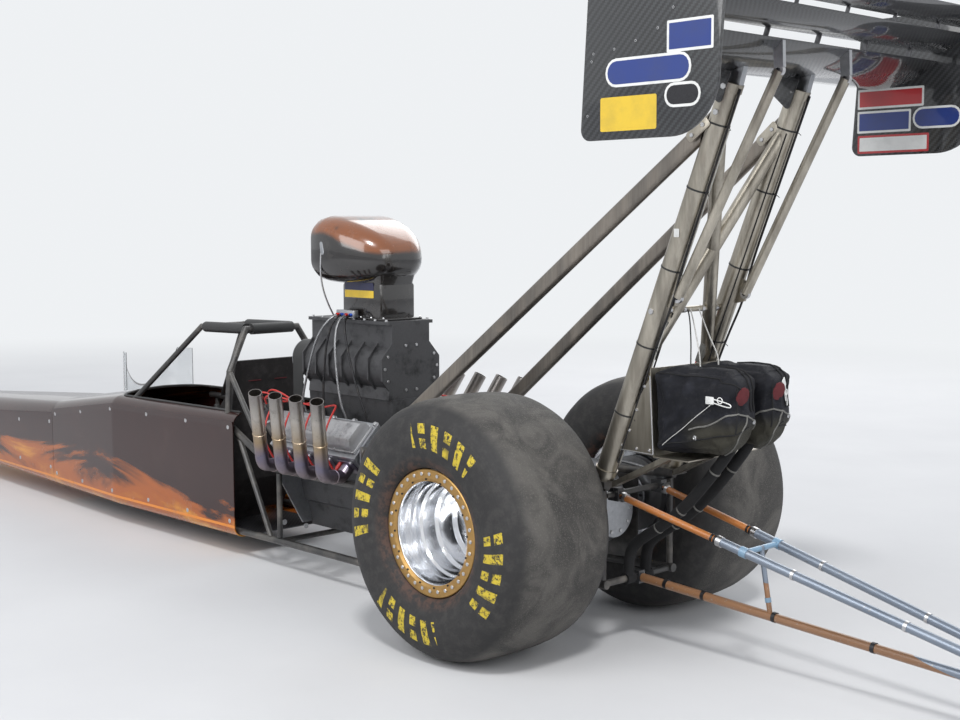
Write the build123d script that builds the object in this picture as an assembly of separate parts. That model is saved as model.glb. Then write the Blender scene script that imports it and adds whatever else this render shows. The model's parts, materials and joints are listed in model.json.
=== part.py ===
"""Rear-engined drag racing car on a long tube frame, one solid or set of like solids per node.

Millimetres. X runs forward, Y to the car's left, Z up from the ground. Sizes are written with x
measured from the rear axle; write() moves every node so that the origin lies on the ground
below the middle of the whole car.
"""

import math
import os

from build123d import *

# Wheels and axles
WHEELBASE = 7620.0
REAR_TRACK_HALF = 524.0
FRONT_TRACK_HALF = 430.0
REAR_TYRE_R = 472.0
REAR_TYRE_HALF = 258.0
REAR_SHOULDER = 54.0
REAR_CROWN_HALF = 176.0
FRONT_TYRE_R = 286.0
REAR_RIM_R = 203.0
REAR_RIM_HALF = 214.0
RIM_WALL = 9.0
RING_R = 228.0
RING_MOUTH_R = 182.0
RING_THICK = 9.0
AXLE_R = 28.0
AXLE_TUBE_R = 50.0
AXLE_TUBE_END = 318.0
DISC_R = 150.0
DISC_THICK = 28.0
DISC_Y = 350.0
FLANGE_R = 85.0
REAR_DISH_Y = 408.0
DISH_THICK = 14.0
HUB_BOSS_R = 52.0
HUB_BOSS_LENGTH = 24.0
FRONT_RIM_R = 216.0
FRONT_RIM_HALF = 30.0
FRONT_HUB_R = 34.0
FRONT_HUB_HALF = 36.0
STUB_R = 12.5
KINGPIN_Y = 352.0
KINGPIN_R = 10.0
BOSS_R = 20.0
BOSS_HALF = 32.0
FRONT_AXLE_R = 19.0
YOKE_THICK = 10.0
YOKE_HALF = 22.0
STEER_ARM = 110.0
TIE_ROD_R = 6.0
TIE_ROD_EYE_R = 13.0
TIE_ROD_EYE_HEIGHT = 14.0
TIE_ROD_EYE_Y = 340.0

# Clearances
RUN = 0.05
SEAT = 0.3
MOVE = 5.0

# Tube frame
RAIL_R = 16.0
BRACE_R = 12.5
CROSS_R = 11.0
LEG_R = 14.0
PLATE = 8.0
REAR_PLATE_Y = 184.0
SHOE_THICK = 24.0
SHOE_SIDE = 88.0
TIE_HOLE_R = 10.0
TIE_HOLE = (230.0, 285.0)
CAGE_TOP_Z = 1052.0
CAGE_TOP_X = 1985.0
CAGE_FRONT_X = 2400.0
CAGE_END_X = 2850.0
CAGE_BACK_X = 1600.0

# Engine, its centre line and its lengths along the car
CRANK_Z = 375.0
ENGINE_BACK = 930.0
ENGINE_LENGTH = 620.0
DECK = 265.0
HEAD_HALF = 95.0
HEAD_THICK = 112.0
COVER_HALF = 74.0
COVER_THICK = 68.0
BORE_PITCH = 142.0
PORT_ALONG = 317.0
VALLEY_Z = 600.0
SNOUT_R = 62.0
SNOUT_LENGTH = 90.0
CLUTCH_R = 176.0
CLUTCH_LENGTH = 236.0
COUPLER_R = 95.0
COUPLER_LENGTH = 250.0
PINION_R = 90.0
FINAL_CASE_R = 168.0
FINAL_CASE_HALF = 104.0
FINAL_COVER_R = 96.0
CASE_BACK = 960.0
CASE_LENGTH = 560.0
CASE_LOW = 800.0
CASE_TOP = 1120.0
CASE_HALF = 155.0
ROTOR_Z = 930.0
RIB_COUNT = 7
RIB_THICK = 8.0
HAT_FLANGE = 14.0
PULLEY_R = 80.0
PULLEY_LENGTH = 85.0
BELT_THICK = 6.0
BELT_WIDTH = 74.0
STARTER_R = 16.0
STARTER_HUB_R = 30.0
STARTER_DEEP = 40.0
NECK_HEIGHT = 56.0
HAT_HEIGHT = 395.0
HAT_FRONT = 1375.0
HAT_BACK = 950.0
HAT_HALF = 228.0
PIPE_R = 29.0
PIPE_WALL = 3.0
PIPE_MOUTH = 150.0

# Body
BODY_BACK = 1850.0
PANEL = 4.0
BODY_CHAMFER = 34.0
NOSE_BACK = 3700.0
NOSE_OVERHANG = 700.0
FLOOR_HALF = 215.0
SCREEN_R = 205.0
SCREEN_TOP = 880.0
SEAT_BACK = 2010.0
SEAT_FRONT = 2560.0
COLUMN_R = 12.0
COLUMN_LENGTH = 640.0
COLUMN_DROP = 0.28
STEERING_X = 2620.0
STEERING_Z = 560.0
BEARING_R = 24.0

# Rear wing and its stand
STRUT_HALF = 190.0
STRUT_R = 37.0
STRUT_TOP = 2000.0
STRUT_FOOT = (-300.0, 610.0)
STRUT_HEAD = (-864.0, 2025.0)
WING_HALF = 759.0
END_PLATE = 12.0
END_PLATE_FRONT = -710.0
END_PLATE_CHORD = 506.0
END_PLATE_RAKE = 34.0
END_PLATE_LOW = 1794.0
END_PLATE_TOP = 2292.0
ROD_R = 17.0
FRONT_STRUT_Y = 289.0
FRONT_STRUT_Z = 573.0
CROSS_BAR_Z = 1248.0
CROSS_BAR_R = 10.0

# Parachute packs
PACK_HALF = 94.0
PACK_Y = 100.0
PACK_LOW = 745.0
PACK_TOP = 1050.0
PACK_BACK = -905.0
PACK_FRONT_LOW = -548.0
PACK_FRONT_TOP = -532.0

# Wheelie bar
BAR_TIP = -1980.0
BAR_WHEEL_R = 55.0
BAR_WHEEL_Z = 118.0
BAR_WHEEL_HALF = 16.0
BAR_WHEEL_Y = 80.0
BAR_PIN_R = 8.0
BAR_R = 12.5
BAR_BACK_R = 16.0
BAR_MOUNT_Z = 572.0

# Frame stations from the rear: x, half width, lower rail height, upper rail height
STATIONS = (
    (-330.0, 190.0, 249.0, 609.0),
    (160.0, 190.0, 225.0, 585.0),
    (480.0, 215.0, 170.0, 520.0),
    (740.0, 300.0, 130.0, 455.0),
    (1560.0, 300.0, 130.0, 455.0),
    (1900.0, 284.0, 120.8, 600.0),
    (2960.0, 284.0, 120.8, 625.0),
)
BACK_CROSS = -310.0
BEARING_X = 2900.0
UPRIGHTS = (BACK_CROSS, 460.0, 1520.0, 2000.0, BEARING_X)
LOW_CROSSES = (BACK_CROSS, 460.0, 1520.0, BEARING_X)
DIAGONALS = ((1585.0, 1860.0),)
CAGE_FOOT_X = 1945.0

# Body sections: x, half width, bottom, top
SECTIONS = (
    (BODY_BACK, 322.0, 95.0, 700.0),
    (2950.0, 328.0, 95.0, 690.0),
    (NOSE_BACK, 280.0, 95.0, 585.0),
)
NOSE_SECTIONS = (
    (NOSE_BACK, 280.0, 95.0, 585.0),
    (WHEELBASE - 2220.0, 205.0, 105.0, 465.0),
    (WHEELBASE - 270.0, 135.0, 140.0, 395.0),
    (WHEELBASE + NOSE_OVERHANG, 60.0, 190.0, 262.0),
)

# Wing elements: leading x and z, trailing x and z, depth of the belly, rise of the top
ELEMENTS = {
    "wing_main_plane": (-722.0, 2050.0, -1050.0, 2120.0, 42.0, 6.0),
    "wing_second_plane": (-1034.0, 2148.0, -1158.0, 2206.0, 18.0, 3.0),
    "wing_flap": (-1146.0, 2226.0, -1232.0, 2280.0, 12.0, 2.0),
}

BACK_TIP = BAR_TIP - BAR_WHEEL_R
FRONT_TIP = WHEELBASE + NOSE_OVERHANG
MIDDLE = (FRONT_TIP + BACK_TIP) / 2
ENGINE_FRONT = ENGINE_BACK + ENGINE_LENGTH
HAT_BASE = CASE_TOP + HAT_FLANGE + NECK_HEIGHT
HAT_TOP = HAT_BASE + HAT_HEIGHT
CLUTCH_FRONT = ENGINE_BACK - PLATE
COUPLER_BACK = CLUTCH_FRONT - CLUTCH_LENGTH - COUPLER_LENGTH
UP = (Align.CENTER, Align.CENTER, Align.MIN)
SIDE_ON = (Align.MIN, Align.CENTER, Align.CENTER)
LEAN = math.sqrt(0.5)
CORNERS = ((-1, -1), (1, -1), (1, 1), (-1, 1))


def write(shape, node):
    """Moves a node from the rear axle's frame to the part's frame and writes it."""
    export_step(Pos(-MIDDLE, 0, 0) * shape, f"parts/{node}.step")


def bar(a, b, r):
    """Round bar from a to b."""
    start, axis = Vector(*a), Vector(*b) - Vector(*a)
    return Plane(origin=start, z_dir=axis) * Cylinder(r, axis.length, align=UP)


def disc(y_low, y_high, r, x=0.0, z=REAR_TYRE_R):
    """Round disc or boss whose axis lies across the car."""
    return bar((x, y_low, z), (x, y_high, z), r)


def corners(points):
    """The points of a path without those that lie in line with their neighbours."""
    kept = [Vector(*points[0])]
    for point, after in zip(points[1:-1], points[2:]):
        here = Vector(*point)
        if (here - kept[-1]).get_angle(Vector(*after) - here) > 0.5:
            kept.append(here)
    return [*kept, Vector(*points[-1])]


def bent(points, r):
    """Round tube of straight runs, mitred where two runs meet."""
    turns = corners(points)
    ways = [(b - a).normalized() for a, b in zip(turns, turns[1:])]
    runs = []
    for i, way in enumerate(ways):
        first, last = i == 0, i == len(ways) - 1
        start = turns[i] if first else turns[i] - way * r
        end = turns[i + 1] if last else turns[i + 1] + way * r
        run = bar(start, end, r)
        if not first:
            run = run.split(Plane(origin=turns[i], z_dir=ways[i - 1] + way), keep=Keep.TOP)
        if not last:
            mitre = Plane(origin=turns[i + 1], z_dir=way + ways[i + 1])
            run = run.split(mitre, keep=Keep.BOTTOM)
        runs.append(run)
    return joined(runs)


def oval(a, b, width, depth):
    """Flat-sided oval bar whose wide side lies fore and aft."""
    axis = Vector(*b) - Vector(*a)
    plane = Plane(origin=Vector(*a), x_dir=Vector(0, 1, 0), z_dir=axis)
    return extrude(plane * Rot(0, 0, 90) * SlotOverall(width, depth), amount=axis.length)


def both(build):
    """The same thing on the left and on the right."""
    return [build(1), build(-1)]


def joined(shapes):
    """One solid of all the shapes, added one after the other."""
    whole, *rest = shapes
    for shape in rest:
        whole = whole.fuse(shape)
    return whole


def side_slab(points, y_a, y_b):
    """A plate drawn in side view and given its width across the car."""
    y_low, y_high = sorted((y_a, y_b))
    face = make_face(Polyline(*points, close=True))
    plane = Plane(origin=(0, y_high, 0), x_dir=(1, 0, 0), z_dir=(0, -1, 0))
    return extrude(plane * face, amount=y_high - y_low)


def front_slab(points, x_low, x_high):
    """A shape drawn in front view, y then z, and given its length along the car."""
    face = make_face(Polyline(*points, close=True))
    plane = Plane(origin=(x_low, 0, 0), x_dir=(0, 1, 0), z_dir=(1, 0, 0))
    return extrude(plane * face, amount=x_high - x_low)


def turned(profile, side, y, x=0.0, z=REAR_TYRE_R):
    """Revolves a profile of (radius, distance outward from y) about an axle across the car."""
    face = make_face(Polyline(*[(r, side * (y + out)) for r, out in profile], close=True))
    plane = Plane(origin=(x, 0, z), x_dir=(1, 0, 0), z_dir=(0, 0, 1))
    return revolve(plane * face, axis=Axis((x, 0, z), (0, 1, 0)))


def bank(side, along, out):
    """A point of a cylinder bank: distance up the bank, then outward from its middle."""
    return (side * LEAN * (along + out), CRANK_Z + LEAN * (along - out))


def at_station(i, side, level):
    x, half, low, high = STATIONS[i]
    return (x, side * half, low if level == "low" else high)


def between(rows, x):
    """The values of a table of sections at any x between two rows."""
    for row, after in zip(rows, rows[1:]):
        if row[0] <= x <= after[0]:
            share = (x - row[0]) / (after[0] - row[0])
            return [a + (b - a) * share for a, b in zip(row, after)]
    raise ValueError(f"no section at x = {x}")


def rail_point(x, side, level):
    """The rail's centre at any x."""
    _, half, low, high = between(STATIONS, x)
    return (x, side * half, low if level == "low" else high)


def stand_x(z):
    """The main strut's x at a height."""
    share = (z - STRUT_FOOT[1]) / (STRUT_HEAD[1] - STRUT_FOOT[1])
    return STRUT_FOOT[0] + (STRUT_HEAD[0] - STRUT_FOOT[0]) * share


def stand_point(z, side):
    return (stand_x(z), side * STRUT_HALF, z)


def stand_edge(z, out):
    """A point (x, z) off the main strut's centre line, square to it; out is rearward."""
    run, rise = STRUT_HEAD[0] - STRUT_FOOT[0], STRUT_HEAD[1] - STRUT_FOOT[1]
    length = math.hypot(run, rise)
    return (stand_x(z) - out * rise / length, z + out * run / length)


def column_point(x):
    """The steering column's centre at any x."""
    return (x, 0.0, STEERING_Z - COLUMN_DROP * (x - STEERING_X))


def rail(side, level):
    return bent([at_station(i, side, level) for i in range(len(STATIONS))], RAIL_R)


def rail_way(x, side, level):
    """The rail's direction at any x."""
    return Vector(*rail_point(x + 1, side, level)) - Vector(*rail_point(x - 1, side, level))


def seated(tube, foot, way, carrier_way, carrier_r=RAIL_R):
    """Cuts a tube's foot flat, just clear of the round tube that carries it."""
    along = carrier_way.normalized()
    out = (way - along * way.dot(along)).normalized()
    plane = Plane(origin=Vector(*foot) + out * (carrier_r + SEAT), z_dir=out)
    return tube.split(plane, keep=Keep.TOP)


def brace(a, b, r, way_a, way_b, carrier_r=RAIL_R):
    """Straight tube seated on two others, whose directions are given, at a and at b."""
    way = Vector(*b) - Vector(*a)
    tube = seated(bar(a, b, r), a, way, way_a, carrier_r)
    return seated(tube, b, way * -1, way_b, carrier_r)


def frame_rails():
    """Two lower and two upper rails; the upper ones carry the shoes of the wing's struts."""
    high = STATIONS[0][3]
    rails = []
    for side in (1, -1):
        shoe = Pos(stand_x(high + SHOE_THICK), side * STATIONS[0][1], high)
        shoe = shoe * Box(SHOE_SIDE, SHOE_SIDE, SHOE_THICK, align=UP)
        rails += [rail(side, "low"), rail(side, "high").fuse(shoe)]
    return Compound(rails)


def frame_braces():
    """Uprights, diagonals and cross tubes between the rails, and the steering column's bearing."""
    tubes = []
    for side in (1, -1):
        for x, x_high in (*[(x, x) for x in UPRIGHTS], *DIAGONALS):
            ends = rail_point(x, side, "low"), rail_point(x_high, side, "high")
            ways = rail_way(x, side, "low"), rail_way(x_high, side, "high")
            tubes.append(brace(*ends, BRACE_R, *ways))
    for x in LOW_CROSSES:
        left, right = [(rail_point(x, side, "low"), rail_way(x, side, "low")) for side in (1, -1)]
        tubes.append(brace(left[0], right[0], BRACE_R, left[1], right[1]))
    column_x, _, column_z = column_point(BEARING_X)
    crosses = []
    for x, z in ((BACK_CROSS, BAR_MOUNT_Z), (column_x, column_z - BEARING_R)):
        half = rail_point(x, 1, "low")[1]
        up = Vector(0, 0, 1)
        crosses.append(brace((x, half, z), (x, -half, z), CROSS_R, up, up, BRACE_R))
    back_cross, column_cross = crosses
    bearing = bar(column_point(column_x - BRACE_R), column_point(column_x + BRACE_R), BEARING_R)
    column_way = bar(column_point(column_x - 60), column_point(column_x + 60), COLUMN_R + RUN)
    return Compound([*tubes, back_cross, column_cross.fuse(bearing).cut(column_way)])


def axle_plates():
    """Plates between the rails that carry the axle tubes, each with a holed lug for a tie-down."""
    back, front = -156.0, 156.0
    edge = RAIL_R + SEAT
    outline = [(x, rail_point(x, 1, "low")[2] + edge) for x in (back, front)]
    outline += [(x, rail_point(x, 1, "high")[2] - edge) for x in (front, back)]
    axle_way = disc(-REAR_TRACK_HALF, REAR_TRACK_HALF, AXLE_TUBE_R + SEAT)
    hole_y, hole_z = TIE_HOLE
    lug_half = 2.1 * TIE_HOLE_R
    lug = [(x, hole_z + dz) for x, dz in ((back, -lug_half), (back + PLATE, -lug_half))]
    lug += [(x, hole_z + lug_half) for x in (back + PLATE, back)]

    def plate(side):
        inner, outer = REAR_PLATE_Y - PLATE / 2, REAR_PLATE_Y + PLATE / 2
        tab = side_slab(lug, side * inner, side * (hole_y + lug_half))
        hole_ends = [(x, side * hole_y, hole_z) for x in (back - 1, back + PLATE + 1)]
        tie_hole = bar(*hole_ends, TIE_HOLE_R)
        return side_slab(outline, side * inner, side * outer).fuse(tab).cut(axle_way, tie_hole)

    return Compound(both(plate))


def roll_cage():
    """Hoop behind the driver, two forward legs, a cross bar and two rear braces."""
    shoulder = (1955.0, 262.0, 860.0)
    top = (CAGE_TOP_X, 150.0, CAGE_TOP_Z)
    front = (CAGE_FRONT_X, 124.0, CAGE_TOP_Z - 7)
    leg_top = (CAGE_TOP_X, front[1], CAGE_TOP_Z)

    def on_side(point, side):
        x, y, z = point
        return (x, side * y, z)

    def on_rail(tube, x, side, above):
        foot = rail_point(x, side, "high")
        way = Vector(*on_side(above, side)) - Vector(*foot)
        return seated(tube, foot, way, rail_way(x, side, "high"))

    left = [rail_point(CAGE_FOOT_X, 1, "high"), shoulder, top]
    hoop = bent([*left, *[on_side(point, -1) for point in reversed(left)]], RAIL_R)
    tubes = [on_rail(on_rail(hoop, CAGE_FOOT_X, 1, shoulder), CAGE_FOOT_X, -1, shoulder)]
    for side in (1, -1):
        foot = rail_point(CAGE_END_X, side, "high")
        leg = bent([on_side(leg_top, side), on_side(front, side), foot], LEG_R)
        tubes.append(on_rail(leg, CAGE_END_X, side, front))
        back = bar(on_side(shoulder, side), rail_point(CAGE_BACK_X, side, "high"), BRACE_R)
        tubes.append(on_rail(back, CAGE_BACK_X, side, shoulder))
    tubes.append(bar(front, on_side(front, -1), BRACE_R))
    return joined(tubes)


def motor_plates():
    """Plates across the frame at both ends of the engine; the back one has the struts' ears."""
    crank_hole_r = 100.0
    ear_in, ear_out = 262.0, 312.0
    plates = []
    for x, ear_z in ((CLUTCH_FRONT, FRONT_STRUT_Z + 52), (ENGINE_FRONT, None)):
        _, low_y, low_z = rail_point(x, 1, "low")
        _, high_y, high_z = rail_point(x, 1, "high")
        edge, rail_top = high_y - RAIL_R, high_z + RAIL_R + SEAT
        half = [(low_y / 2, low_z + 60), (edge, high_z - 30), (edge, rail_top)]
        if ear_z:
            half += [(ear_out, rail_top), (ear_out, ear_z), (ear_in, ear_z)]
            half.append((ear_in, rail_top + 40))
        half += [(215, rail_top), (60, 560)]
        plate = front_slab([*half, *[(-y, z) for y, z in reversed(half)]], x, x + PLATE)
        hole = bar((x - 1, 0, CRANK_Z), (x + PLATE + 1, 0, CRANK_Z), crank_hole_r)
        plates.append(plate.cut(hole))
    return Compound(plates)


def valley_z(y):
    """Height of the floor between the banks at a distance from the middle."""
    edge_y, edge_z = bank(1, DECK, -HEAD_HALF)
    return VALLEY_Z + (edge_z - VALLEY_Z) * y / edge_y


def engine_block():
    """V block with its crank case, the oil pan below it and the crank's snout."""
    half = [
        (0, valley_z(0)),
        bank(1, DECK, -HEAD_HALF),
        bank(1, DECK, HEAD_HALF),
        (165, 430),
        (140, 300),
        (118, 285),
        (96, 175),
        (0, 175),
    ]
    outline = half + [(-y, z) for y, z in reversed(half[1:-1])]
    block = front_slab(outline, ENGINE_BACK, ENGINE_FRONT)
    snout_end = ENGINE_FRONT + SNOUT_LENGTH
    return block.fuse(bar((ENGINE_FRONT, 0, CRANK_Z), (snout_end, 0, CRANK_Z), SNOUT_R))


def bank_box(side, along, thick, half, length):
    """Box laid on a bank, its sides square to the bank."""
    y, z = bank(side, along, 0)
    x = ENGINE_BACK + ENGINE_LENGTH / 2
    plane = Plane(origin=(x, y, z), x_dir=(1, 0, 0), z_dir=(0, side * LEAN, LEAN))
    return plane, plane * Box(length, 2 * half, thick, align=UP)


def cylinder_heads():
    length = ENGINE_LENGTH - 20
    return Compound(both(lambda side: bank_box(side, DECK, HEAD_THICK, HEAD_HALF, length)[1]))


def valve_covers():
    """Covers on the heads, their two long upper edges bevelled."""
    bevel = 22.0

    def cover(side):
        plane, box = bank_box(side, DECK + HEAD_THICK, COVER_THICK, COVER_HALF, ENGINE_LENGTH - 50)
        top = box.faces().sort_by(Axis((0, 0, 0), plane.z_dir))[-1]
        return chamfer(top.edges().filter_by(Axis.X), bevel)

    return Compound(both(cover))


def supercharger():
    """Twin-rotor case with cross ribs, on its manifold, with its drive snout."""
    end = CASE_BACK + CASE_LENGTH
    side_r = 108.0
    rib_stand = 8.0
    plane = Plane(origin=(CASE_BACK, 0, 0), x_dir=(0, 1, 0), z_dir=(1, 0, 0))
    section = SlotOverall(2 * CASE_HALF, 2 * side_r)
    rotors = extrude(plane * Pos(0, ROTOR_Z) * section, amount=CASE_LENGTH)
    deck = [
        (105, CASE_TOP),
        (105, ROTOR_Z + 40),
        (128, CASE_LOW),
    ]
    deck = front_slab([*deck, *[(-y, z) for y, z in reversed(deck)]], CASE_BACK, end)
    reach = CASE_HALF + rib_stand
    corner = 62.0
    rib = [
        (reach - corner, ROTOR_Z + side_r + rib_stand),
        (reach, ROTOR_Z + side_r - corner),
        (reach, ROTOR_Z - side_r + corner),
        (reach - corner, ROTOR_Z - side_r - rib_stand),
    ]
    outline = [*rib, *[(-y, z) for y, z in reversed(rib)]]
    pitch = (CASE_LENGTH - RIB_THICK) / (RIB_COUNT - 1)
    starts = [CASE_BACK + i * pitch for i in range(RIB_COUNT)]
    ribs = [front_slab(outline, x, x + RIB_THICK) for x in starts]
    flange = Pos(CASE_BACK + CASE_LENGTH / 2, 0, CASE_TOP)
    flange = flange * Box(CASE_LENGTH, 250, HAT_FLANGE, align=UP)
    snout = bar((end, 0, ROTOR_Z), (end + SNOUT_LENGTH + 30, 0, ROTOR_Z), SNOUT_R)
    foot_half = 104.0
    manifold = [(118, CASE_LOW), (foot_half, valley_z(foot_half)), (0, valley_z(0))]
    manifold = front_slab(
        [*manifold, *[(-y, z) for y, z in reversed(manifold[:-1])]],
        ENGINE_BACK + 20,
        ENGINE_FRONT - 20,
    )
    return joined([rotors, deck, *ribs, flange, snout, manifold])


def pulley_ends():
    """Back and front faces of the supercharger's pulley."""
    back = CASE_BACK + CASE_LENGTH + SNOUT_LENGTH + 30
    return back, back + PULLEY_LENGTH


def blower_drive():
    """Belt between the crank pulley and the supercharger's pulley."""
    top_back, front = pulley_ends()
    crank_back = ENGINE_FRONT + SNOUT_LENGTH
    pulleys = [
        bar((top_back, 0, ROTOR_Z), (front, 0, ROTOR_Z), PULLEY_R),
        bar((crank_back, 0, CRANK_Z), (front, 0, CRANK_Z), PULLEY_R),
    ]
    plane = Plane(origin=(top_back + 4, 0, 0), x_dir=(0, 1, 0), z_dir=(1, 0, 0))
    place = plane * Pos(0, (ROTOR_Z + CRANK_Z) / 2) * Rot(0, 0, 90)
    span = ROTOR_Z - CRANK_Z
    loop = place * SlotCenterToCenter(span, 2 * (PULLEY_R + BELT_THICK - 1))
    hole = place * SlotCenterToCenter(span, 2 * (PULLEY_R - 1))
    return joined([*pulleys, extrude(loop - hole, amount=BELT_WIDTH)])


def starter_hub():
    """Ring on the face of the supercharger's pulley that takes the starter's shaft."""
    back = pulley_ends()[1] + SEAT
    front = back + STARTER_DEEP
    hole = bar((back - 1, 0, ROTOR_Z), (front + 1, 0, ROTOR_Z), STARTER_R)
    return bar((back, 0, ROTOR_Z), (front, 0, ROTOR_Z), STARTER_HUB_R).cut(hole)


def injector_hat():
    """Air scoop with bevelled edges, an open mouth ahead of three throttle plates."""
    bevel = 46.0
    taper_from = HAT_FRONT - 195
    back_half = 120.0
    lip_low, lip_top = HAT_BASE + 140, HAT_TOP - 65
    side = (
        (HAT_BACK, HAT_BASE),
        (HAT_FRONT - 140, HAT_BASE),
        (HAT_FRONT - 45, HAT_BASE + 72),
        (HAT_FRONT, lip_low),
        (HAT_FRONT, lip_top),
        (HAT_FRONT - 45, HAT_TOP),
        (HAT_FRONT - 175, HAT_TOP - 12),
        (HAT_BACK, HAT_TOP - 155),
    )
    plan = (
        (HAT_BACK, -back_half),
        (taper_from, -HAT_HALF),
        (HAT_FRONT, -HAT_HALF),
        (HAT_FRONT, HAT_HALF),
        (taper_from, HAT_HALF),
        (HAT_BACK, back_half),
    )
    column = Pos(0, 0, HAT_BASE - 10) * make_face(Polyline(*plan, close=True))
    column = extrude(column, amount=HAT_TOP)
    hat = side_slab(side, -HAT_HALF, HAT_HALF) & column
    mouth_deep = 110.0
    mouth = Pos(HAT_FRONT - mouth_deep, 0, lip_low) * Box(
        mouth_deep + 1,
        2 * (HAT_HALF - bevel),
        lip_top - lip_low,
        align=(Align.MIN, Align.CENTER, Align.MIN),
    )
    neck_low = CASE_TOP + HAT_FLANGE
    neck = Pos(HAT_BACK + 145, 0, neck_low) * Box(250, 190, NECK_HEIGHT + 20, align=UP)
    return hat.cut(mouth).fuse(neck)


def magnetos():
    """Two upright magnetos on the front plate, each with a wide cap."""
    body_r, cap_r, neck_half = 48.0, 58.0, 26.0
    body_length, cap_length = 190.0, 50.0

    def one(side):
        foot = Vector(ENGINE_FRONT + 70, side * 160, 520)
        way = Vector(0.1, side * 0.5, 0.86).normalized()
        cap = foot + way * body_length
        neck = Pos(ENGINE_FRONT, foot.Y, foot.Z + neck_half + 4)
        neck = neck * Box(70, 2 * neck_half, 2 * neck_half, align=SIDE_ON)
        return joined([bar(foot, cap, body_r), bar(cap, cap + way * cap_length, cap_r), neck])

    return Compound(both(one))


def header_path(side, i):
    """Centre line of one exhaust pipe, from its port out, down and up to its open end."""
    first = ENGINE_BACK + (ENGINE_LENGTH - 3 * BORE_PITCH) / 2
    x = first + i * BORE_PITCH
    port_y, port_z = bank(side, PORT_ALONG, HEAD_HALF)
    elbow_y, elbow_z = bank(side, PORT_ALONG, HEAD_HALF + 62)
    return [
        (x, port_y, port_z),
        (x, elbow_y, elbow_z),
        (x - 40, side * 462, 512),
        (x - 170, side * 585, 845),
    ]


def headers():
    """Four open pipes a side that leave the heads outward and sweep up and back."""
    pipes = []
    for side in (1, -1):
        for i in range(4):
            path = header_path(side, i)
            tip = Vector(*path[-1])
            way = (tip - Vector(*path[-2])).normalized()
            mouth = bar(tip - way * PIPE_MOUTH, tip + way, PIPE_R - PIPE_WALL)
            pipes.append(bent(path, PIPE_R).cut(mouth))
    return Compound(pipes)


def clutch_housing():
    """Round clutch can behind the engine and the coupler's tube to the final drive."""
    can_back = CLUTCH_FRONT - CLUTCH_LENGTH
    can = bar((can_back, 0, CRANK_Z), (CLUTCH_FRONT, 0, CRANK_Z), CLUTCH_R)
    return can.fuse(bar((COUPLER_BACK, 0, CRANK_Z), (can_back, 0, CRANK_Z), COUPLER_R))


def rear_end():
    """Final drive case with its pinion snout, back cover, axle tubes and end flanges."""
    cover_back = -206.0
    end_flange_r = 78.0
    flange_thick = 10.0
    pieces = [
        disc(-FINAL_CASE_HALF, FINAL_CASE_HALF, FINAL_CASE_R),
        disc(-AXLE_TUBE_END, AXLE_TUBE_END, AXLE_TUBE_R),
        bar((0, 0, CRANK_Z), (COUPLER_BACK, 0, CRANK_Z), PINION_R),
        bar((0, 0, REAR_TYRE_R), (cover_back, 0, REAR_TYRE_R), FINAL_COVER_R),
    ]
    for side in (1, -1):
        pieces.append(disc(side * (AXLE_TUBE_END - flange_thick), side * AXLE_TUBE_END, end_flange_r))
    return joined(pieces).cut(disc(-AXLE_TUBE_END - 1, AXLE_TUBE_END + 1, AXLE_R + RUN))


def brake_calipers():
    """A caliper on each disc, on a bracket from the end of the axle tube."""
    cheek = 12.0
    bracket_thick = 8.0
    back, front, half_height = 104.0, 178.0, 62.0
    gap = DISC_THICK / 2 + MOVE
    outline = ((back, -half_height), (front, -40), (front, 40), (back, half_height))
    slot = ((back - 1, -100), (DISC_R + MOVE, -100), (DISC_R + MOVE, 100), (back - 1, 100))
    bracket = ((60, -30), (front - 20, -40), (front - 20, 40), (60, 30))

    def plate(points, side, y_a, y_b):
        return side_slab([(x, REAR_TYRE_R + z) for x, z in points], side * y_a, side * y_b)

    def one(side):
        block = plate(outline, side, AXLE_TUBE_END, DISC_Y + gap + cheek)
        block = block.cut(plate(slot, side, DISC_Y - gap, DISC_Y + gap))
        return block.fuse(plate(bracket, side, AXLE_TUBE_END, AXLE_TUBE_END + bracket_thick))

    return Compound(both(one))


def rear_axle():
    """Solid spool with a flange and a brake disc at each end."""
    inner, outer = DISC_Y - DISC_THICK / 2, DISC_Y + DISC_THICK / 2
    pieces = [disc(-REAR_DISH_Y, REAR_DISH_Y, AXLE_R)]
    for side in (1, -1):
        pieces.append(disc(side * outer, side * REAR_DISH_Y, FLANGE_R))
        pieces.append(disc(side * inner, side * outer, DISC_R))
    return joined(pieces)


def rear_wheels():
    """Deep rims: a barrel, a dish far inboard and a hub boss."""
    low = REAR_TRACK_HALF - REAR_RIM_HALF
    high = REAR_TRACK_HALF + REAR_RIM_HALF
    dish_front = REAR_DISH_Y + DISH_THICK
    profile = (
        (RING_R, low),
        (REAR_RIM_R - RIM_WALL, low),
        (REAR_RIM_R - RIM_WALL, REAR_DISH_Y),
        (0, REAR_DISH_Y),
        (0, dish_front + HUB_BOSS_LENGTH),
        (HUB_BOSS_R, dish_front + HUB_BOSS_LENGTH),
        (HUB_BOSS_R, dish_front),
        (RING_MOUTH_R, dish_front),
        (RING_MOUTH_R, high),
        (RING_R, high),
    )
    return Compound(both(lambda side: turned(profile, side, 0)))


def beadlock_rings():
    """Flat clamp ring on the outer face of each rear rim."""
    face = REAR_TRACK_HALF + REAR_RIM_HALF

    def one(side):
        ring = disc(side * face, side * (face + RING_THICK), RING_R)
        return ring.cut(disc(side * (face - 1), side * (face + RING_THICK + 1), RING_MOUTH_R))

    return Compound(both(one))


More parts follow.
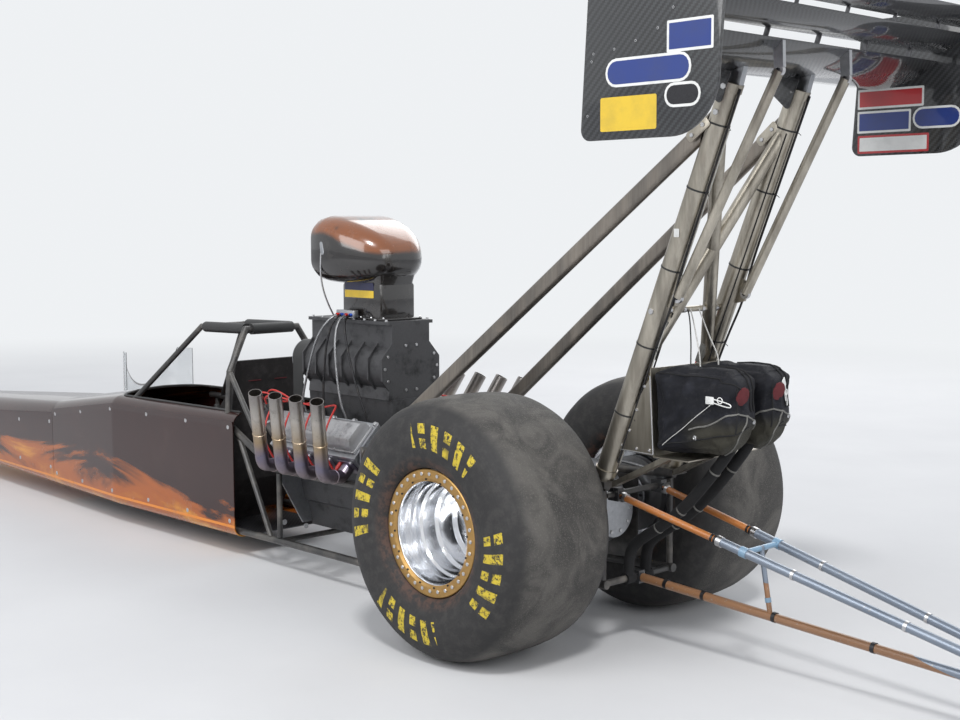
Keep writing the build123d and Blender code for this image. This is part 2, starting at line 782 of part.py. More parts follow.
def rear_tyres():
    """Wide slicks with a flat crown, bevelled shoulders and upright side walls."""
    half = [
        (RING_R + SEAT, REAR_TYRE_HALF),
        (REAR_TYRE_R - REAR_SHOULDER, REAR_TYRE_HALF),
        (REAR_TYRE_R, REAR_CROWN_HALF),
    ]
    profile = half + [(r, -out) for r, out in reversed(half)]
    return Compound(both(lambda side: turned(profile, side, REAR_TRACK_HALF)))


def wing_uprights():
    """Two tall struts from the shoes on the frame to the wing."""
    foot = STATIONS[0][3] + SHOE_THICK

    def one(side):
        strut = bar(stand_point(foot - STRUT_R, side), stand_point(STRUT_TOP, side), STRUT_R)
        return strut.split(Plane(origin=(0, 0, foot), z_dir=(0, 0, 1)), keep=Keep.TOP)

    return Compound(both(one))


def wing_front_struts():
    """Two oval struts from the ears of the back motor plate up to the main struts."""
    wide, deep = 62.0, 34.0
    head_z = 1905.0

    def one(side):
        foot = Vector(CLUTCH_FRONT, side * FRONT_STRUT_Y, FRONT_STRUT_Z)
        head = Vector(*stand_point(head_z, side))
        past = (foot - head).normalized() * wide
        strut = oval(foot + past, head, wide, deep)
        x, z = stand_edge(head_z, -STRUT_R)
        low_x, low_z = stand_edge(STRUT_FOOT[1], -STRUT_R)
        upright_front = Vector(z - low_z, 0, low_x - x)
        strut = strut.split(Plane(origin=(x, 0, z), z_dir=upright_front), keep=Keep.TOP)
        return strut.split(Plane(origin=foot, z_dir=(1, 0, 0)), keep=Keep.BOTTOM)

    return Compound(both(one))


def wing_braces():
    """Crossed braces and a thin cross bar between the main struts."""
    low, high, brace_r = 1040.0, 1880.0, 24.0
    bars = [bar(stand_point(high, side), stand_point(low, -side), brace_r) for side in (1, -1)]
    bars.append(bar(stand_point(CROSS_BAR_Z, 1), stand_point(CROSS_BAR_Z, -1), CROSS_BAR_R))
    between_struts = Pos(stand_x(1460), 0, 1460) * Box(900, 2 * (STRUT_HALF - STRUT_R), 1200)
    return joined(bars) & between_struts


def wing_rods():
    """Adjusting rods behind the main struts, each on a lug against its strut's back."""
    head = (-1033.0, 2023.0)
    foot_z, reach = 1320.0, 26.0
    lug_half = 6.0
    foot = stand_edge(foot_z, STRUT_R + reach)

    def one(side):
        y = side * STRUT_HALF
        rod = bar((head[0], y, head[1]), (foot[0], y, foot[1]), ROD_R)
        low, high = stand_edge(foot_z - 45, STRUT_R), stand_edge(foot_z + 45, STRUT_R)
        tip = [stand_edge(foot_z + along, STRUT_R + reach + 8) for along in (12, -24)]
        lug = side_slab((low, high, *tip), y - lug_half, y + lug_half)
        return rod.fuse(lug)

    return Compound(both(one))


def wing_element(node, clear=0.0):
    """Upside-down aerofoil between the end plates; the tail is cut square."""
    x0, z0, x1, z1, belly, rise = ELEMENTS[node]
    nose_at, tail = Vector(x0, z0), Vector(x1, z1)
    along = (tail - nose_at).normalized()
    down = Vector(-abs(along.Y), -abs(along.X))
    middle = nose_at + (tail - nose_at) * 0.42
    tail_low = tail + down * (3.0 + clear)
    nose_low = nose_at - down * 2
    outline = [
        ThreePointArc(nose_at, middle + down * (belly + clear), tail_low),
        Line(tail_low, tail),
        ThreePointArc(tail, middle - down * rise, nose_low),
        Line(nose_low, nose_at),
    ]
    plane = Plane(origin=(0, WING_HALF - END_PLATE, 0), x_dir=(1, 0, 0), z_dir=(0, -1, 0))
    return extrude(plane * make_face(outline), amount=2 * (WING_HALF - END_PLATE))


def wing_end_plates():
    """Flat side plates with a large round corner at the lower back."""
    low_back, top_front = END_PLATE_FRONT - END_PLATE_CHORD, END_PLATE_FRONT - END_PLATE_RAKE
    outline = make_face(
        Polyline(
            (END_PLATE_FRONT, END_PLATE_LOW),
            (low_back, END_PLATE_LOW),
            (low_back - END_PLATE_RAKE, END_PLATE_TOP),
            (top_front, END_PLATE_TOP),
            close=True,
        )
    )
    round_corner = outline.vertices().sort_by(Axis.Y)[:2].sort_by(Axis.X)[0]
    outline = fillet(round_corner, 0.34 * END_PLATE_CHORD)
    outline = fillet(outline.vertices().sort_by(Axis.Y)[-2:], 40.0)
    plates = []
    for y in (WING_HALF, -WING_HALF + END_PLATE):
        plane = Plane(origin=(0, y, 0), x_dir=(1, 0, 0), z_dir=(0, -1, 0))
        plates.append(extrude(plane * outline, amount=END_PLATE))
    return Compound(plates)


def wing_brackets():
    """Saddles between the struts' heads and the main plane, and lugs for the rods."""
    front, back = stand_edge(STRUT_TOP, -STRUT_R), stand_edge(STRUT_TOP, STRUT_R)
    saddle = (front, back, (-930, 2120), (-800, 2120))
    lug = ((-1010, 2130), (-1018, 2032), (-1052, 2032), (-1048, 2130))
    under = wing_element("wing_main_plane", SEAT)
    pieces = []
    for side in (1, -1):
        y = side * STRUT_HALF
        for outline, half in ((saddle, 12), (lug, 8)):
            piece = side_slab(outline, y - half, y + half).cut(under)
            pieces.append(piece.solids().sort_by(Axis.Z)[0])
    return Compound(pieces)


def pack_front(z):
    """The packs' upright front face, just behind the struts' backs at any height."""
    share = (z - PACK_LOW) / (PACK_TOP - PACK_LOW)
    return PACK_FRONT_LOW + (PACK_FRONT_TOP - PACK_FRONT_LOW) * share


def parachute_packs():
    """Two soft packs side by side behind the struts, with rounded far ends."""
    round_r = 34.0
    side = (
        (pack_front(PACK_LOW), PACK_LOW),
        (pack_front(PACK_TOP), PACK_TOP),
        (PACK_BACK, PACK_TOP + 10),
        (PACK_BACK, PACK_LOW + 55),
        (PACK_BACK + 85, PACK_LOW),
    )

    def one(y_side):
        pack = side_slab(side, y_side * (PACK_Y - PACK_HALF), y_side * (PACK_Y + PACK_HALF))
        return fillet(pack.edges().filter_by(Axis.Y), round_r)

    return Compound(both(one))


def parachute_mount():
    """Back plate and tray with triangular cheeks, on two legs from the struts' shoes."""
    thick = 4.0
    leg_inner = 150.0
    outer = PACK_Y + PACK_HALF + thick
    back_low, back_top = pack_front(PACK_LOW) + SEAT, pack_front(PACK_TOP) + SEAT
    tray_z = PACK_LOW - SEAT
    shoe_back = stand_x(STATIONS[0][3] + SHOE_THICK) - SHOE_SIDE / 2
    back = (
        (back_low, tray_z),
        (back_low + thick, tray_z),
        (back_top + thick, PACK_TOP),
        (back_top, PACK_TOP),
    )
    tray = (
        (back_low + thick, tray_z),
        (back_low - 150, tray_z),
        (back_low - 150, tray_z - thick),
        (back_low + thick, tray_z - thick),
    )
    leg = (
        (shoe_back, STATIONS[0][3] + 2),
        (shoe_back, STATIONS[0][3] + SHOE_THICK - 2),
        (back_low - 30, tray_z - thick / 2),
        (back_low - 70, tray_z - thick / 2),
    )
    cheek = ((back_top, PACK_TOP - 26), (stand_x(754), 754), (back_low, tray_z))
    pieces = [side_slab(back, -outer, outer), side_slab(tray, -outer, outer)]
    for side in (1, -1):
        pieces.append(side_slab(cheek, side * (outer - thick), side * outer))
        pieces.append(side_slab(leg, side * leg_inner, side * (outer - thick)))
    return joined(pieces).cut(*wing_uprights().solids())


def wheelie_bar_z(x):
    """Height of the upper bars at any x."""
    return BAR_MOUNT_Z + (x - BACK_CROSS) * 0.236


def wheelie_bars():
    """Two upper bars and one lower bar from the frame's cross tubes to the wheels' carrier."""
    start = BACK_CROSS
    low_z, end_z = rail_point(start, 1, "low")[2], 150.0
    step_x, end_x, tie_x = -760.0, BAR_TIP + 55, -860.0
    tie_r, tie_half = 9.0, 96.0
    lug_half, lug_reach = 16.0, 24.0
    rows = ((start, 122.0), (step_x, 102.0), (end_x, 42.0))

    def lug(y, z):
        square = [(start + a * lug_reach, z + b * lug_reach) for a, b in CORNERS]
        return side_slab(square, y - lug_half, y + lug_half)

    pieces = [lug(0, low_z), bar((start, 0, low_z), (end_x, 0, end_z), BAR_BACK_R)]
    for side in (1, -1):
        front, step, back = [(x, side * y, wheelie_bar_z(x)) for x, y in rows]
        pieces += [bar(front, step, BAR_R), bar(step, back, BAR_BACK_R)]
        pieces.append(lug(side * rows[0][1], BAR_MOUNT_Z))
    pieces.append(disc(-tie_half, tie_half, tie_r, tie_x, wheelie_bar_z(tie_x)))
    pieces.append(bar((tie_x, 0, wheelie_bar_z(tie_x)), (tie_x - 40, 0, 222), tie_r))
    carrier = ((end_x + 25, 200), (end_x + 25, 128), (BAR_TIP - 20, 100), (BAR_TIP - 20, 136))
    half = BAR_WHEEL_Y - BAR_WHEEL_HALF - MOVE - 1
    pieces.append(side_slab(carrier, -half, half))
    pin_half = BAR_WHEEL_Y + BAR_WHEEL_HALF + 4
    pieces.append(disc(-pin_half, pin_half, BAR_PIN_R, BAR_TIP, BAR_WHEEL_Z))
    bars = joined(pieces)
    for z, r in ((BAR_MOUNT_Z, CROSS_R), (low_z, BRACE_R)):
        bars = bars.cut(disc(-STRUT_HALF, STRUT_HALF, r + SEAT, start, z))
    return bars


def wheelie_wheels():
    def one(side):
        low, high = BAR_WHEEL_Y - BAR_WHEEL_HALF, BAR_WHEEL_Y + BAR_WHEEL_HALF
        wheel = disc(side * low, side * high, BAR_WHEEL_R, BAR_TIP, BAR_WHEEL_Z)
        bore = disc(side * (low - 1), side * (high + 1), BAR_PIN_R + RUN, BAR_TIP, BAR_WHEEL_Z)
        return wheel.cut(bore)

    return Compound(both(one))


def body_ring(row, inset):
    """Corners of one body section: a rectangle with bevelled corners."""
    x, half, bottom, top = row
    y, low, high = half - inset, bottom + inset, top - inset
    bevel = BODY_CHAMFER - (2 - math.sqrt(2)) * inset
    left = [(y - bevel, low), (y, low + bevel), (y, high - bevel), (y - bevel, high)]
    ring = [*left, *[(-y_at, z) for y_at, z in reversed(left)]]
    return [(x, y_at, z) for y_at, z in ring]


def flat(*points):
    return make_face(Polyline(*points, close=True))


def body_solid(rows, inset=0.0):
    """Body form with flat faces between its sections, drawn in by inset all round."""
    rings = [body_ring(row, inset) for row in rows]
    faces = [flat(*rings[0]), flat(*rings[-1])]
    for back, front in zip(rings, rings[1:]):
        for i in range(len(back)):
            faces.append(flat(back[i - 1], back[i], front[i], front[i - 1]))
    return Solid(Shell(faces))


def body_panels():
    """Driver's section of the body, split into floor, two sides and a top panel."""
    shell = body_solid(SECTIONS).cut(body_solid(SECTIONS, PANEL))
    hatch = make_face(
        Polyline((1800, -300), (2890, -292), (2975, 0), (2890, 292), (1800, 300), close=True)
    )
    shell = shell.cut(extrude(Pos(0, 0, 400) * hatch, amount=400))
    low = SECTIONS[0][2]
    under = Pos(BODY_BACK, 0, low - PANEL) * Box(
        NOSE_BACK - BODY_BACK, 2 * FLOOR_HALF, 30, align=(Align.MIN, Align.CENTER, Align.MIN)
    )
    split = 60.0
    seam = [(x, top - split) for x, _, _, top in SECTIONS]
    above = [(x, top + split) for x, _, _, top in reversed(SECTIONS)]
    upper = side_slab([*seam, *above], -SECTIONS[1][1] - 10, SECTIONS[1][1] + 10)
    return shell & under, shell.cut(under).cut(upper), shell & upper


def nose():
    """Closed nose with a blunt tip, bored for the front axle and the tie rod."""
    axle = disc(-300, 300, FRONT_AXLE_R + SEAT, WHEELBASE, FRONT_TYRE_R)
    rod = disc(-300, 300, TIE_ROD_R + MOVE, WHEELBASE - STEER_ARM, tie_rod_z())
    return body_solid(NOSE_SECTIONS).cut(axle, rod)


def windscreen():
    """Curved screen that stands on the body's top ahead of the cockpit."""
    axis_x, front_x, keep_from = 2990.0, 3200.0, 3010.0
    tube = bar((axis_x, 0, 500), (axis_x - 10, 0, 900), SCREEN_R)
    tube = tube.cut(bar((axis_x, 0, 499), (axis_x - 10, 0, 901), SCREEN_R - PANEL))
    seat_line = [(x, between(SECTIONS, x)[3] + SEAT) for x in (keep_from, front_x)]
    keep = side_slab([*seat_line, (3100, SCREEN_TOP), (keep_from, SCREEN_TOP)], -300, 300)
    return tube & keep


def seat():
    """Reclined bucket with side wings, on a foot that stands on the floor panel."""
    half = 190.0
    wing = 6.0
    shell = (
        (SEAT_BACK, 900),
        (SEAT_BACK + 30, 900),
        (SEAT_BACK + 110, 330),
        (SEAT_BACK + 190, 170),
        (SEAT_FRONT, 200),
        (SEAT_FRONT, 180),
        (SEAT_BACK + 180, 140),
        (SEAT_BACK + 80, 310),
    )
    cheek = (
        (SEAT_BACK + 10, 800),
        (SEAT_BACK + 170, 640),
        (SEAT_BACK + 320, 330),
        (SEAT_FRONT, 250),
        *shell[5:],
    )
    floor_top = SECTIONS[0][2] + PANEL
    foot = Pos((SEAT_BACK + SEAT_FRONT) / 2, 0, floor_top + SEAT) * Box(160, 160, 60, align=UP)
    cheeks = both(lambda side: side_slab(cheek, side * half, side * (half + wing)))
    return joined([side_slab(shell, -half, half), *cheeks, foot])


def front_axle():
    """Straight axle tube with a kingpin block at each end."""
    axle = disc(-KINGPIN_Y, KINGPIN_Y, FRONT_AXLE_R, WHEELBASE, FRONT_TYRE_R)
    low, high = FRONT_TYRE_R - BOSS_HALF, FRONT_TYRE_R + BOSS_HALF
    ends = [Pos(WHEELBASE, side * KINGPIN_Y, FRONT_TYRE_R) for side in (1, -1)]
    axle = joined([axle, *[end * Box(2 * BOSS_R, 2 * BOSS_R, high - low) for end in ends]])
    return axle.cut(*[end * Cylinder(KINGPIN_R + RUN, high - low + 2) for end in ends])


def spindle(side):
    """Yoke round the axle's boss, its pin, the stub and the steering arm."""
    y, z = side * KINGPIN_Y, FRONT_TYRE_R
    reach = BOSS_HALF + SEAT
    wall_in, wall_out = BOSS_R + MOVE, BOSS_R + MOVE + YOKE_THICK
    yoke = side_slab(
        (
            (WHEELBASE - YOKE_HALF, z - reach - YOKE_THICK),
            (WHEELBASE + YOKE_HALF, z - reach - YOKE_THICK),
            (WHEELBASE + YOKE_HALF, z + reach + YOKE_THICK),
            (WHEELBASE - YOKE_HALF, z + reach + YOKE_THICK),
        ),
        side * (KINGPIN_Y - BOSS_R),
        side * (KINGPIN_Y + wall_out),
    )
    gap = side_slab(
        (
            (WHEELBASE - YOKE_HALF - 1, z - reach),
            (WHEELBASE + YOKE_HALF + 1, z - reach),
            (WHEELBASE + YOKE_HALF + 1, z + reach),
            (WHEELBASE - YOKE_HALF - 1, z + reach),
        ),
        side * (KINGPIN_Y - BOSS_R - 1),
        side * (KINGPIN_Y + wall_in),
    )
    pin = bar((WHEELBASE, y, z - reach - YOKE_THICK), (WHEELBASE, y, z + reach + YOKE_THICK), KINGPIN_R)
    stub_end = FRONT_TRACK_HALF + FRONT_HUB_HALF + 12
    stub = disc(side * (KINGPIN_Y + wall_in), side * stub_end, STUB_R, WHEELBASE, z)
    arm = Pos(WHEELBASE, y, z - reach - YOKE_THICK) * Box(
        STEER_ARM + 6, 24, YOKE_THICK, align=(Align.MAX, Align.CENTER, Align.MIN)
    )
    return joined([yoke.cut(gap), pin, stub, arm])


def tie_rod_z():
    """Height of the tie rod's centre, over the steering arms."""
    return FRONT_TYRE_R - BOSS_HALF + TIE_ROD_EYE_HEIGHT / 2


def tie_rod():
    """Rod behind the front axle whose eyes lie on the steering arms."""
    x, z = WHEELBASE - STEER_ARM, tie_rod_z()
    rod = disc(-TIE_ROD_EYE_Y, TIE_ROD_EYE_Y, TIE_ROD_R, x, z)
    eye = Box(2 * TIE_ROD_EYE_R, 2 * TIE_ROD_EYE_R, TIE_ROD_EYE_HEIGHT)
    return joined([rod, *both(lambda side: Pos(x, side * TIE_ROD_EYE_Y, z) * eye)])


def front_wheel(side):
    """Narrow wheel: rim and disc in one, with a hub that turns on the spindle's stub."""
    half = [
        (STUB_R + RUN, FRONT_HUB_HALF),
        (FRONT_HUB_R, FRONT_HUB_HALF),
        (FRONT_HUB_R, FRONT_RIM_HALF),
        (FRONT_RIM_R, FRONT_RIM_HALF),
    ]
    profile = half + [(r, -out) for r, out in reversed(half)]
    return turned(profile, side, FRONT_TRACK_HALF, WHEELBASE, FRONT_TYRE_R)


def front_tyre(side):
    """Narrow tyre on the front rim."""
    profile = [
        (FRONT_RIM_R, -FRONT_RIM_HALF),
        (FRONT_TYRE_R, -FRONT_RIM_HALF),
        (FRONT_TYRE_R, FRONT_RIM_HALF),
        (FRONT_RIM_R, FRONT_RIM_HALF),
    ]
    return turned(profile, side, FRONT_TRACK_HALF, WHEELBASE, FRONT_TYRE_R)


def steering_wheel():
    """Butterfly wheel on its column."""
    hub = Vector(*column_point(STEERING_X))
    way = (Vector(*column_point(STEERING_X + 1)) - hub).normalized()
    plane = Plane(origin=hub, x_dir=Vector(0, 1, 0), z_dir=way)
    grips = [plane * Pos(side * 105, 0, 0) * Box(18, 110, 18) for side in (1, -1)]
    column = bar(hub, hub + way * COLUMN_LENGTH, COLUMN_R)
    return joined([column, plane * Cylinder(30.0, 24), *grips, plane * Box(220, 20, 12)])


def front_wing():
    """Low wing under the nose tip with end plates and two short mounts."""
    chord = 300.0
    half = 530.0
    plate = 8.0
    front = FRONT_TIP - 20
    back = front - chord
    profile = make_face(
        [
            ThreePointArc((front, 150), (front - 110, 118), (back, 160)),
            Line((back, 160), (back, 164)),
            ThreePointArc((back, 164), (front - 110, 150), (front, 154)),
            Line((front, 154), (front, 150)),
        ]
    )
    plane = Plane(origin=(0, half, 0), x_dir=(1, 0, 0), z_dir=(0, -1, 0))
    end_plate = ((front, 105), (back - 20, 105), (back - 20, 215), (front, 195))
    mount = ((front - 60, 140), (front - 240, 148), (front - 240, 260), (front - 60, 260))
    pieces = [extrude(plane * profile, amount=2 * half)]
    pieces += both(lambda side: side_slab(end_plate, side * half, side * (half + plate)))
    pieces += both(lambda side: side_slab(mount, side * 40 - plate / 2, side * 40 + plate / 2))
    return joined(pieces).cut(body_solid(NOSE_SECTIONS))


def main():
    os.makedirs("parts", exist_ok=True)
    floor, sides, top = body_panels()
    nodes = {
        "frame_rails": frame_rails(),
        "frame_braces": frame_braces(),
        "axle_plates": axle_plates(),
        "roll_cage": roll_cage(),
        "motor_plates": motor_plates(),
        "engine_block": engine_block(),
        "cylinder_heads": cylinder_heads(),
        "valve_covers": valve_covers(),
        "supercharger": supercharger(),
        "blower_drive": blower_drive(),
        "starter_hub": starter_hub(),
        "injector_hat": injector_hat(),
        "magnetos": magnetos(),
        "headers": headers(),
        "clutch_housing": clutch_housing(),
        "rear_end": rear_end(),
        "brake_calipers": brake_calipers(),
        "rear_axle": rear_axle(),
        "rear_wheels": rear_wheels(),
        "beadlock_rings": beadlock_rings(),
        "rear_tyres": rear_tyres(),
        "wing_uprights": wing_uprights(),
        "wing_front_struts": wing_front_struts(),
        "wing_braces": wing_braces(),
        "wing_rods": wing_rods(),
        "wing_main_plane": wing_element("wing_main_plane"),
        "wing_second_plane": wing_element("wing_second_plane"),
        "wing_flap": wing_element("wing_flap"),
        "wing_end_plates": wing_end_plates(),
        "wing_brackets": wing_brackets(),
        "parachute_packs": parachute_packs(),
        "parachute_mount": parachute_mount(),
        "wheelie_bars": wheelie_bars(),
        "wheelie_wheels": wheelie_wheels(),
        "body_floor": floor,
        "body_sides": sides,
        "body_top": top,
        "nose": nose(),
        "windscreen": windscreen(),
        "seat": seat(),
        "front_axle": front_axle(),
        "spindle_left": spindle(1),
        "spindle_right": spindle(-1),
        "tie_rod": tie_rod(),
        "front_wheel_left": front_wheel(1),
        "front_wheel_right": front_wheel(-1),
        "front_tyre_left": front_tyre(1),
        "front_tyre_right": front_tyre(-1),
        "steering_wheel": steering_wheel(),
        "front_wing": front_wing(),
    }
    for node, shape in nodes.items():
        write(shape, node)


main()
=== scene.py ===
"""Looks of a rear-engined drag racing car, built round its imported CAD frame.

Metres. Most sizes are written with x measured from the rear axle, as in the part's source, and
car() moves them to the part's frame, whose origin lies under the middle of the whole car.
"""

import contextlib
import json
import math

import bpy
from mathutils import Matrix, Vector


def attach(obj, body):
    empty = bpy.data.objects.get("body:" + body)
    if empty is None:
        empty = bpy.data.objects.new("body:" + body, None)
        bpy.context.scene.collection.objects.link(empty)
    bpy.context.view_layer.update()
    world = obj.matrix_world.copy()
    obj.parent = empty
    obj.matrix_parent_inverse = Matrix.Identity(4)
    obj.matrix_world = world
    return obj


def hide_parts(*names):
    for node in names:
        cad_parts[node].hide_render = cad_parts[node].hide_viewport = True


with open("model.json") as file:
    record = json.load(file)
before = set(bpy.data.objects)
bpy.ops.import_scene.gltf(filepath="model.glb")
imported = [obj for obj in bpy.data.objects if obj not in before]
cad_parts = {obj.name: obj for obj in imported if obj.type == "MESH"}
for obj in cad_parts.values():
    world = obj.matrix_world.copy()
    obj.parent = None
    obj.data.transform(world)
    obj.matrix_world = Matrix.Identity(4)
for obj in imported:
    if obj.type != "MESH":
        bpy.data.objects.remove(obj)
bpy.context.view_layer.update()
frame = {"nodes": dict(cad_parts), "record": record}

AXLE_X, AXLE_Z = -3.1425, 0.472
TRACK_HALF = 0.524
SIDES = (1, -1)
WORDS = {1: "left", -1: "right"}
SQUARE = ((-1, -1), (1, -1), (1, 1), (-1, 1))
ROUND = 2 * math.pi
QUARTER = math.pi / 2
FORWARD, ACROSS = (1, 0, 0), (0, 1, 0)
BACKDROP = (0.86, 0.88, 0.90)


def car(x, y, z):
    """A point measured from the rear axle, in the part's frame."""
    return Vector((x + AXLE_X, y, z))


# ---------------------------------------------------------------- camera, floor and light


def aimed(name, data, way, place=(0, 0, 0)):
    """Puts a camera or a lamp in the scene, looking along a way."""
    thing = bpy.data.objects.new(name, data)
    thing.location, thing.rotation_mode = place, "QUATERNION"
    thing.rotation_quaternion = Vector(way).to_track_quat("-Z", "Y")
    bpy.context.scene.collection.objects.link(thing)
    return thing


def studio():
    """Camera where the photograph was taken, a pale floor, and soft light."""
    yaw, pitch, roll = (math.radians(a) for a in (-43.58, -5.46, -0.17))
    flat = math.cos(pitch)
    look = (flat * math.cos(yaw), flat * math.sin(yaw), math.sin(pitch))
    camera = aimed("camera", bpy.data.cameras.new("camera"), look, (-6.8125, 3.997, 1.548))
    camera.rotation_quaternion @= Matrix.Rotation(roll, 4, "Z").to_quaternion()
    camera.data.lens, camera.data.sensor_width, camera.data.clip_end = 53.54, 36.0, 200
    bpy.context.scene.camera = camera
    bpy.context.scene.view_settings.view_transform = "Standard"
    bpy.ops.mesh.primitive_plane_add(size=120, location=(0, 0, 0))
    floor = bpy.context.object
    floor.name = "floor"
    floor.data.materials.append(floor_finish())
    for name, place, size, power in (
        ("sky_left", (-3.0, 9.0, 6.5), 7.0, 620),
        ("sky_right", (2.0, -9.0, 7.0), 8.0, 420),
        ("sky_back", (-12.0, 0.5, 5.0), 6.0, 300),
    ):
        lamp = bpy.data.lights.new(name, "AREA")
        lamp.size, lamp.energy = size, power
        aimed(name, lamp, Vector((-1.5, 0, 0.6)) - Vector(place), place)
    sun = bpy.data.lights.new("sun", "SUN")
    sun.energy, sun.angle = 1.5, math.radians(9)
    aimed("sun", sun, (0.55, -0.5, -1.0))
    pale_world()


def pale_world():
    """A white backdrop for the camera and for reflections, and a dimmer one for light."""
    world = bpy.data.worlds.new("backdrop")
    bpy.context.scene.world = world
    world.use_nodes = True
    nodes, link = world.node_tree.nodes, world.node_tree.links.new
    nodes.clear()
    seen, lighting = [nodes.new("ShaderNodeBackground") for _ in range(2)]
    seen.inputs["Color"].default_value = (*BACKDROP, 1)
    lighting.inputs["Color"].default_value = (0.80, 0.86, 0.95, 1)
    lighting.inputs["Strength"].default_value = 0.42
    path = nodes.new("ShaderNodeLightPath")
    any_ray = path.outputs["Is Camera Ray"]
    for ray in ("Is Glossy Ray", "Is Transmission Ray"):
        either = nodes.new("ShaderNodeMath")
        either.operation = "MAXIMUM"
        link(any_ray, either.inputs[0])
        link(path.outputs[ray], either.inputs[1])
        any_ray = either.outputs[0]
    mix = nodes.new("ShaderNodeMixShader")
    for socket, source in enumerate((any_ray, lighting.outputs[0], seen.outputs[0])):
        link(source, mix.inputs[socket])
    link(mix.outputs[0], nodes.new("ShaderNodeOutputWorld").inputs["Surface"])


# ---------------------------------------------------------------- finishes


class Wire:
    """An output socket; sums and products of wires add Math nodes."""

    def __init__(self, finish, socket):
        self.finish, self.socket = finish, socket

    def math(self, operation, *others):
        return self.finish.node("Math", {"operation": operation}, dict(enumerate((self, *others))))

    def __add__(self, other):
        return self.math("ADD", other)

    def __sub__(self, other):
        return self.math("SUBTRACT", other)

    def __rsub__(self, other):
        return (self * -1) + other

    def __mul__(self, other):
        return self.math("MULTIPLY", other)

    def __truediv__(self, other):
        return self.math("DIVIDE", other)

    __radd__ = __add__
    __rmul__ = __mul__

    def above(self, edge, soft=0.0):
        """1 where the value passes the edge, over a soft band."""
        return self.ease(edge - soft, edge + soft) if soft else self.math("GREATER_THAN", edge)

    def below(self, edge, soft=0.0):
        return 1 - self.above(edge, soft)

    def ease(self, low, high, start=0.0, end=1.0):
        values = {0: self, 1: low, 2: high, 3: start, 4: end}
        return self.finish.node("MapRange", {"interpolation_type": "SMOOTHSTEP"}, values)

    def size(self):
        return self.math("ABSOLUTE")

    def wave(self, pitch):
        """A smooth wave from 0 to 1, one for each pitch."""
        return (self * (ROUND / pitch)).math("SINE") * 0.5 + 0.5


class Finish:
    """One procedural material on Object coordinates."""

    def __init__(self, name, **values):
        self.material = bpy.data.materials.new(name)
        self.material.use_nodes = True
        self.tree = self.material.node_tree
        self.shader = self.tree.nodes["Principled BSDF"]
        self.place = self.node("TexCoord", output="Object")
        self.set(**values)

    def node(self, kind, settings=None, values=None, output=0):
        made = self.tree.nodes.new("ShaderNode" + kind)
        for key, value in (settings or {}).items():
            if key == "stops":
                while len(made.color_ramp.elements) < len(value):
                    made.color_ramp.elements.new(0.5)
                for element, (position, colour) in zip(made.color_ramp.elements, value):
                    element.position, element.color = position, (*colour, 1)
            else:
                setattr(made, key, value)
        for key, value in (values or {}).items():
            self.feed(made.inputs[key], value)
        return Wire(self, made.outputs[output])

    def feed(self, socket, value):
        if isinstance(value, Wire):
            self.tree.links.new(value.socket, socket)
        elif socket.type == "RGBA" and len(value) == 3:
            socket.default_value = (*value, 1)
        else:
            socket.default_value = value

    def set(self, **values):
        for key, value in values.items():
            name = key.replace("_", " ").title().replace("Ior", "IOR")
            self.feed(self.shader.inputs[name], value)
        return self

    def axes(self, place=None):
        """X, Y and Z of a place, as wires."""
        split = self.node("SeparateXYZ", values={0: place or self.place})
        return [Wire(self, socket) for socket in split.socket.node.outputs]

    def about_axle(self):
        """Forward of the rear axle, above it, and the distance from its line."""
        x, _, z = self.axes()
        x, z = x - AXLE_X, z - AXLE_Z
        return x, z, (x * x + z * z).math("SQRT")

    def noise(self, scale, detail=4.0, rough=0.55, stretch=None, warp=0.0):
        place = self.place
        if stretch:
            settings = {"vector_type": "POINT"}
            place = self.node("Mapping", settings, {"Vector": place, "Scale": stretch})
        values = {"Scale": scale, "Detail": detail, "Roughness": rough, "Distortion": warp}
        return self.node("TexNoise", {"noise_dimensions": "3D"}, {"Vector": place, **values})

    def mix(self, share, a, b):
        return self.node("Mix", {"data_type": "RGBA"}, {0: share, 6: a, 7: b}, 2)

    def skin(self, colour, roughness, height, depth, strength):
        """Sets the colour, the roughness and the fine relief."""
        values = {"Height": height, "Distance": depth, "Strength": strength}
        return self.set(
            base_color=colour, roughness=roughness, normal=self.node("Bump", values=values)
        )


def shade(colour, factor, lift=0.0):
    return tuple(c * factor + lift for c in colour)


def floor_finish():
    """Pale floor that the camera sees fade into the backdrop a few metres away."""
    look = Finish("pale_floor", roughness=0.85)
    look.set(base_color=look.mix(look.noise(1.4, 6), (0.60, 0.60, 0.61), (0.68, 0.68, 0.685)))
    x, y, _ = look.axes()
    away = (x * x + y * y).math("SQRT").ease(5.0, 13.0)
    seen = look.node("LightPath", output="Is Camera Ray")
    glow = look.node("Emission", values={"Color": BACKDROP, "Strength": 1.0})
    own = Wire(look, look.shader.outputs[0])
    both_seen = look.node("MixShader", values={0: away * seen, 1: own, 2: glow})
    look.tree.links.new(both_seen.socket, look.tree.nodes["Material Output"].inputs["Surface"])
    return look.material


def metal(name, dark, light, rough=0.3, grain=60.0):
    """Bare metal: fine grain, smudges in its shine and a little grime."""
    look = Finish(name, metallic=1.0)
    wear = 0.12
    brush, smudge = look.noise(grain, 5, 0.6), look.noise(5.0, 4, 0.6)
    grime = look.noise(17.0, 6, 0.7).ease(0.56, 0.74) * 0.5
    colour = look.mix(grime, look.mix(brush, dark, light), shade(dark, 0.55))
    shine = brush * wear + smudge * wear * 1.6 + (rough - wear)
    return look.skin(colour, shine, brush, 0.0004, 0.35)


